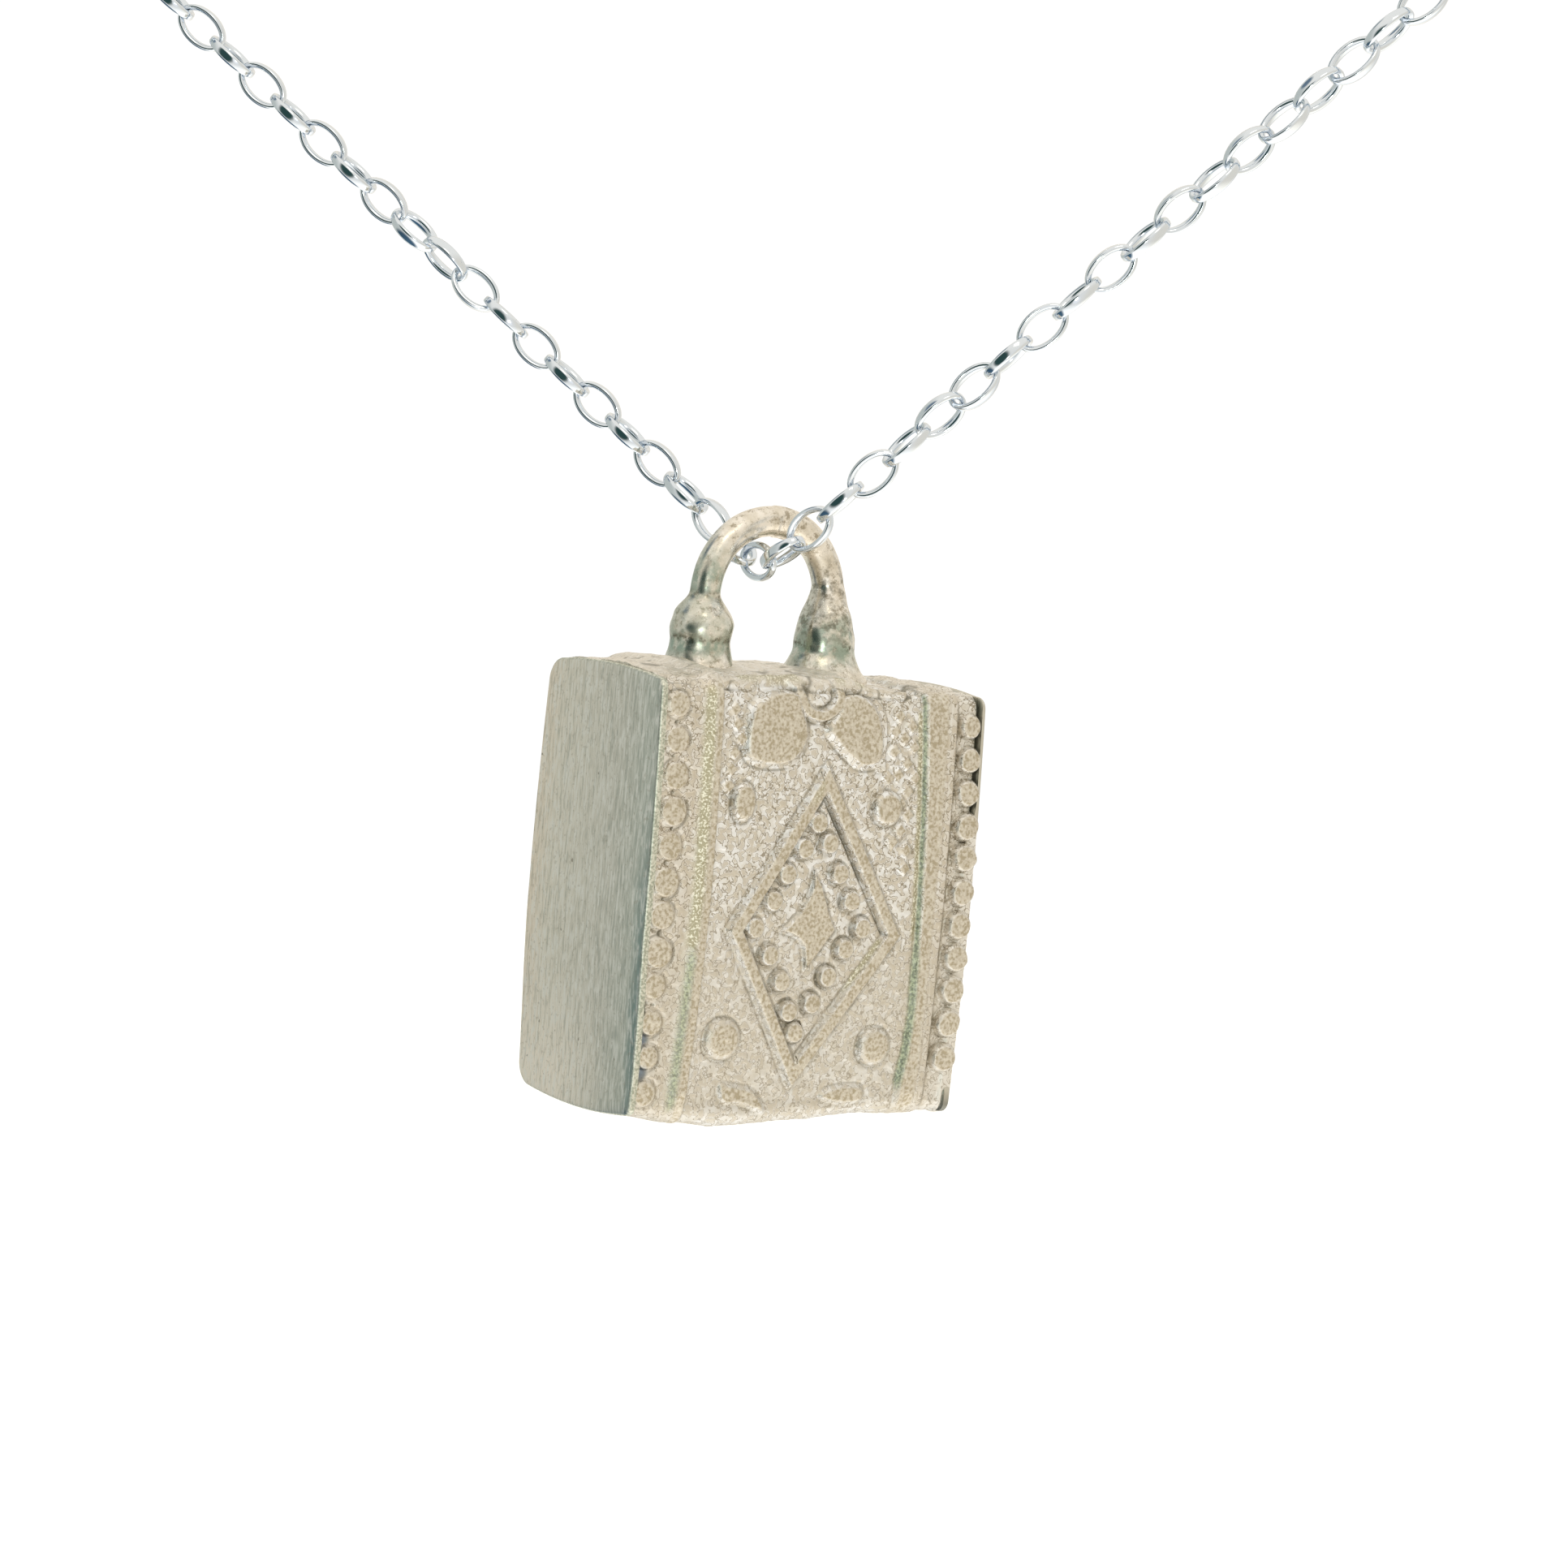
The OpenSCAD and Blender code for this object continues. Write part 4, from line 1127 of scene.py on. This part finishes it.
# %% [markdown]
# ## Dressing the solids
#
# Each surface now takes its finish and rides on the body of its solid, and that solid is hidden. The end
# links and the clasp are already the right shape, so the solids themselves stay and only get their finish.

# %% Finishes, bodies and slots
for piece, finish in [*[(p, cast_silver) for p in strip], *[(p, brushed_silver) for p in plates],
                      (bail, satin_wire)]:
    piece.data.materials.append(finish)
    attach(piece, "pendant")
    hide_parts("amulet_box")
for node_name, pieces in chain_pieces.items():
    for piece in pieces:
        piece.data.materials.append(bright_silver)
        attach(piece, "necklace")
        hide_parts(node_name)
for node_name in ("end_link_right", "end_link_left", "clasp"):
    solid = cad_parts[node_name]
    for material_slot in solid.material_slots:
        material_slot.material = bright_silver

# %% [markdown]
# ## The studio
#
# The pendant hangs over a level sheet of pale card. Silver shows only what stands round it, so a room is
# painted on the world by direction, for the metal to mirror, while the camera itself sees white. There is
# white card above and below, a pale wall behind the pendant, a warm one at its right and a cooler one at its
# left. What gives the silver its darks is something blue at the left and the dark green clothes of whoever
# holds the camera. Two soft square lamps, one above the pendant and one behind the camera, light the edges.

# %% Floor
FLOOR_BELOW, FLOOR_HALF = 0.07, 0.4
corners = np.array([[-1, -1, 0], [1, -1, 0], [1, 1, 0], [-1, 1, 0]]) * FLOOR_HALF
floor_points = corners + box_middle - [0, 0, FLOOR_BELOW]
floor_mesh = bpy.data.meshes.new("floor")
floor_mesh.from_pydata(floor_points.tolist(), [], [[0, 1, 2, 3]])
floor = bpy.data.objects.new("floor", floor_mesh)
bpy.context.collection.objects.link(floor)
floor.visible_glossy = False

pale_card, tree, output = blank("pale_card")
card = add(tree, "BsdfPrincipled", {"Base Color": colour("#F4F3F0"), "Roughness": 0.9,
                                    "Emission Color": (1, 1, 1, 1), "Emission Strength": 0.5})
tree.links.new(card.outputs[0], output.inputs["Surface"])
floor_mesh.materials.append(pale_card)
print("floor at height", round(float(floor_points[0, 2]), 4))

# %% The room by direction
world = bpy.data.worlds.new("studio")
bpy.context.scene.world = world
world.use_nodes = True
tree = world.node_tree
tree.nodes.clear()
toward = add(tree, "TexCoord").outputs["Generated"]
to_camera = -forward
room = [
    ("card above", (0, 0, 1), 80, 40, "#FFFBF2"),
    ("dim far corner", forward, 60, 32, "#A9AFB3"),
    ("pale wall behind", (-0.18, 0.98, -0.02), 60, 30, "#FAF3E6"),
    ("warm wall at the right", (0.97, -0.19, -0.14), 60, 25, "#EFE9DC"),
    ("cooler wall at the left", (-0.98, 0.18, -0.03), 65, 30, "#CBCFC8"),
    ("dark blue low at the left", -0.75 * right + 0.65 * down, 34, 19, "#3A5365"),
    ("paler blue high at the left", -0.7 * right - 0.7 * down, 18, 8, "#6D8090"),
    ("dark green clothes", to_camera - 0.62 * right, 31, 17, "#314B49"),
    ("white card by the camera", to_camera + 0.27 * down, 13, 6, "#FFFFFF"),
]


def patch(direction, start, full):
    """How much of a patch a direction sees: it begins at one angle from the patch's middle, in degrees, and
    is full at a smaller one."""
    d = np.array(direction) / np.linalg.norm(direction)
    cosine = add(tree, "VectorMath", {0: toward, 1: d.tolist()}, operation="DOT_PRODUCT").outputs["Value"]
    return add(tree, "MapRange", {"Value": cosine, "From Min": math.cos(math.radians(start)),
                                  "From Max": math.cos(math.radians(full))},
               interpolation_type="SMOOTHSTEP").outputs["Result"]


light = colour("#F3F1EB")
for what, direction, start, full, tint in room:
    light = blend(tree, patch(direction, start, full), light, tint)
    print(f"{what}: {tint}, out to {start} degrees")

# %% [markdown]
# The card below is lit, so it mirrors brighter than its colour alone. What the camera sees is chosen apart
# from what the metal mirrors, by the kind of ray that looks.

# %% The world's output
LIT_CARD = 0.6
brightness = calculate(tree, "MULTIPLY_ADD", patch((0, 0, -1), 75, 40), LIT_CARD, 1.0)
mirrored = add(tree, "Background", {"Color": light, "Strength": brightness})
seen = add(tree, "Background", {"Color": (1, 1, 1, 1), "Strength": 1.05})
chosen = add(tree, "MixShader", {0: add(tree, "LightPath").outputs["Is Camera Ray"],
                                 1: mirrored.outputs[0], 2: seen.outputs[0]})
add(tree, "OutputWorld", {"Surface": chosen.outputs[0]})

# %% Soft lamps
def lamp(name, direction, distance, size, watts, tint):
    """A square area lamp at a distance from the box in a direction, facing it."""
    data = bpy.data.lights.new(name, "AREA")
    data.size, data.energy, data.color = size, watts, colour(tint)[:3]
    z_axis = np.array(direction, float) / np.linalg.norm(direction)
    x_axis = np.cross([0, 0, 1.0], z_axis)
    x_axis /= np.linalg.norm(x_axis)
    thing = bpy.data.objects.new(name, data)
    bpy.context.collection.objects.link(thing)
    stand(thing, box_middle + z_axis * distance, x_axis, np.cross(z_axis, x_axis), z_axis)


lamp("lamp_above", (0.26, -0.56, 0.78), distance=0.35, size=0.1, watts=0.05, tint="#FFF4E2")
lamp("lamp_front", to_camera + 0.12 * down, distance=0.4, size=0.05, watts=0.1, tint="#F4FFF2")

bpy.context.scene.view_settings.view_transform = "Standard"
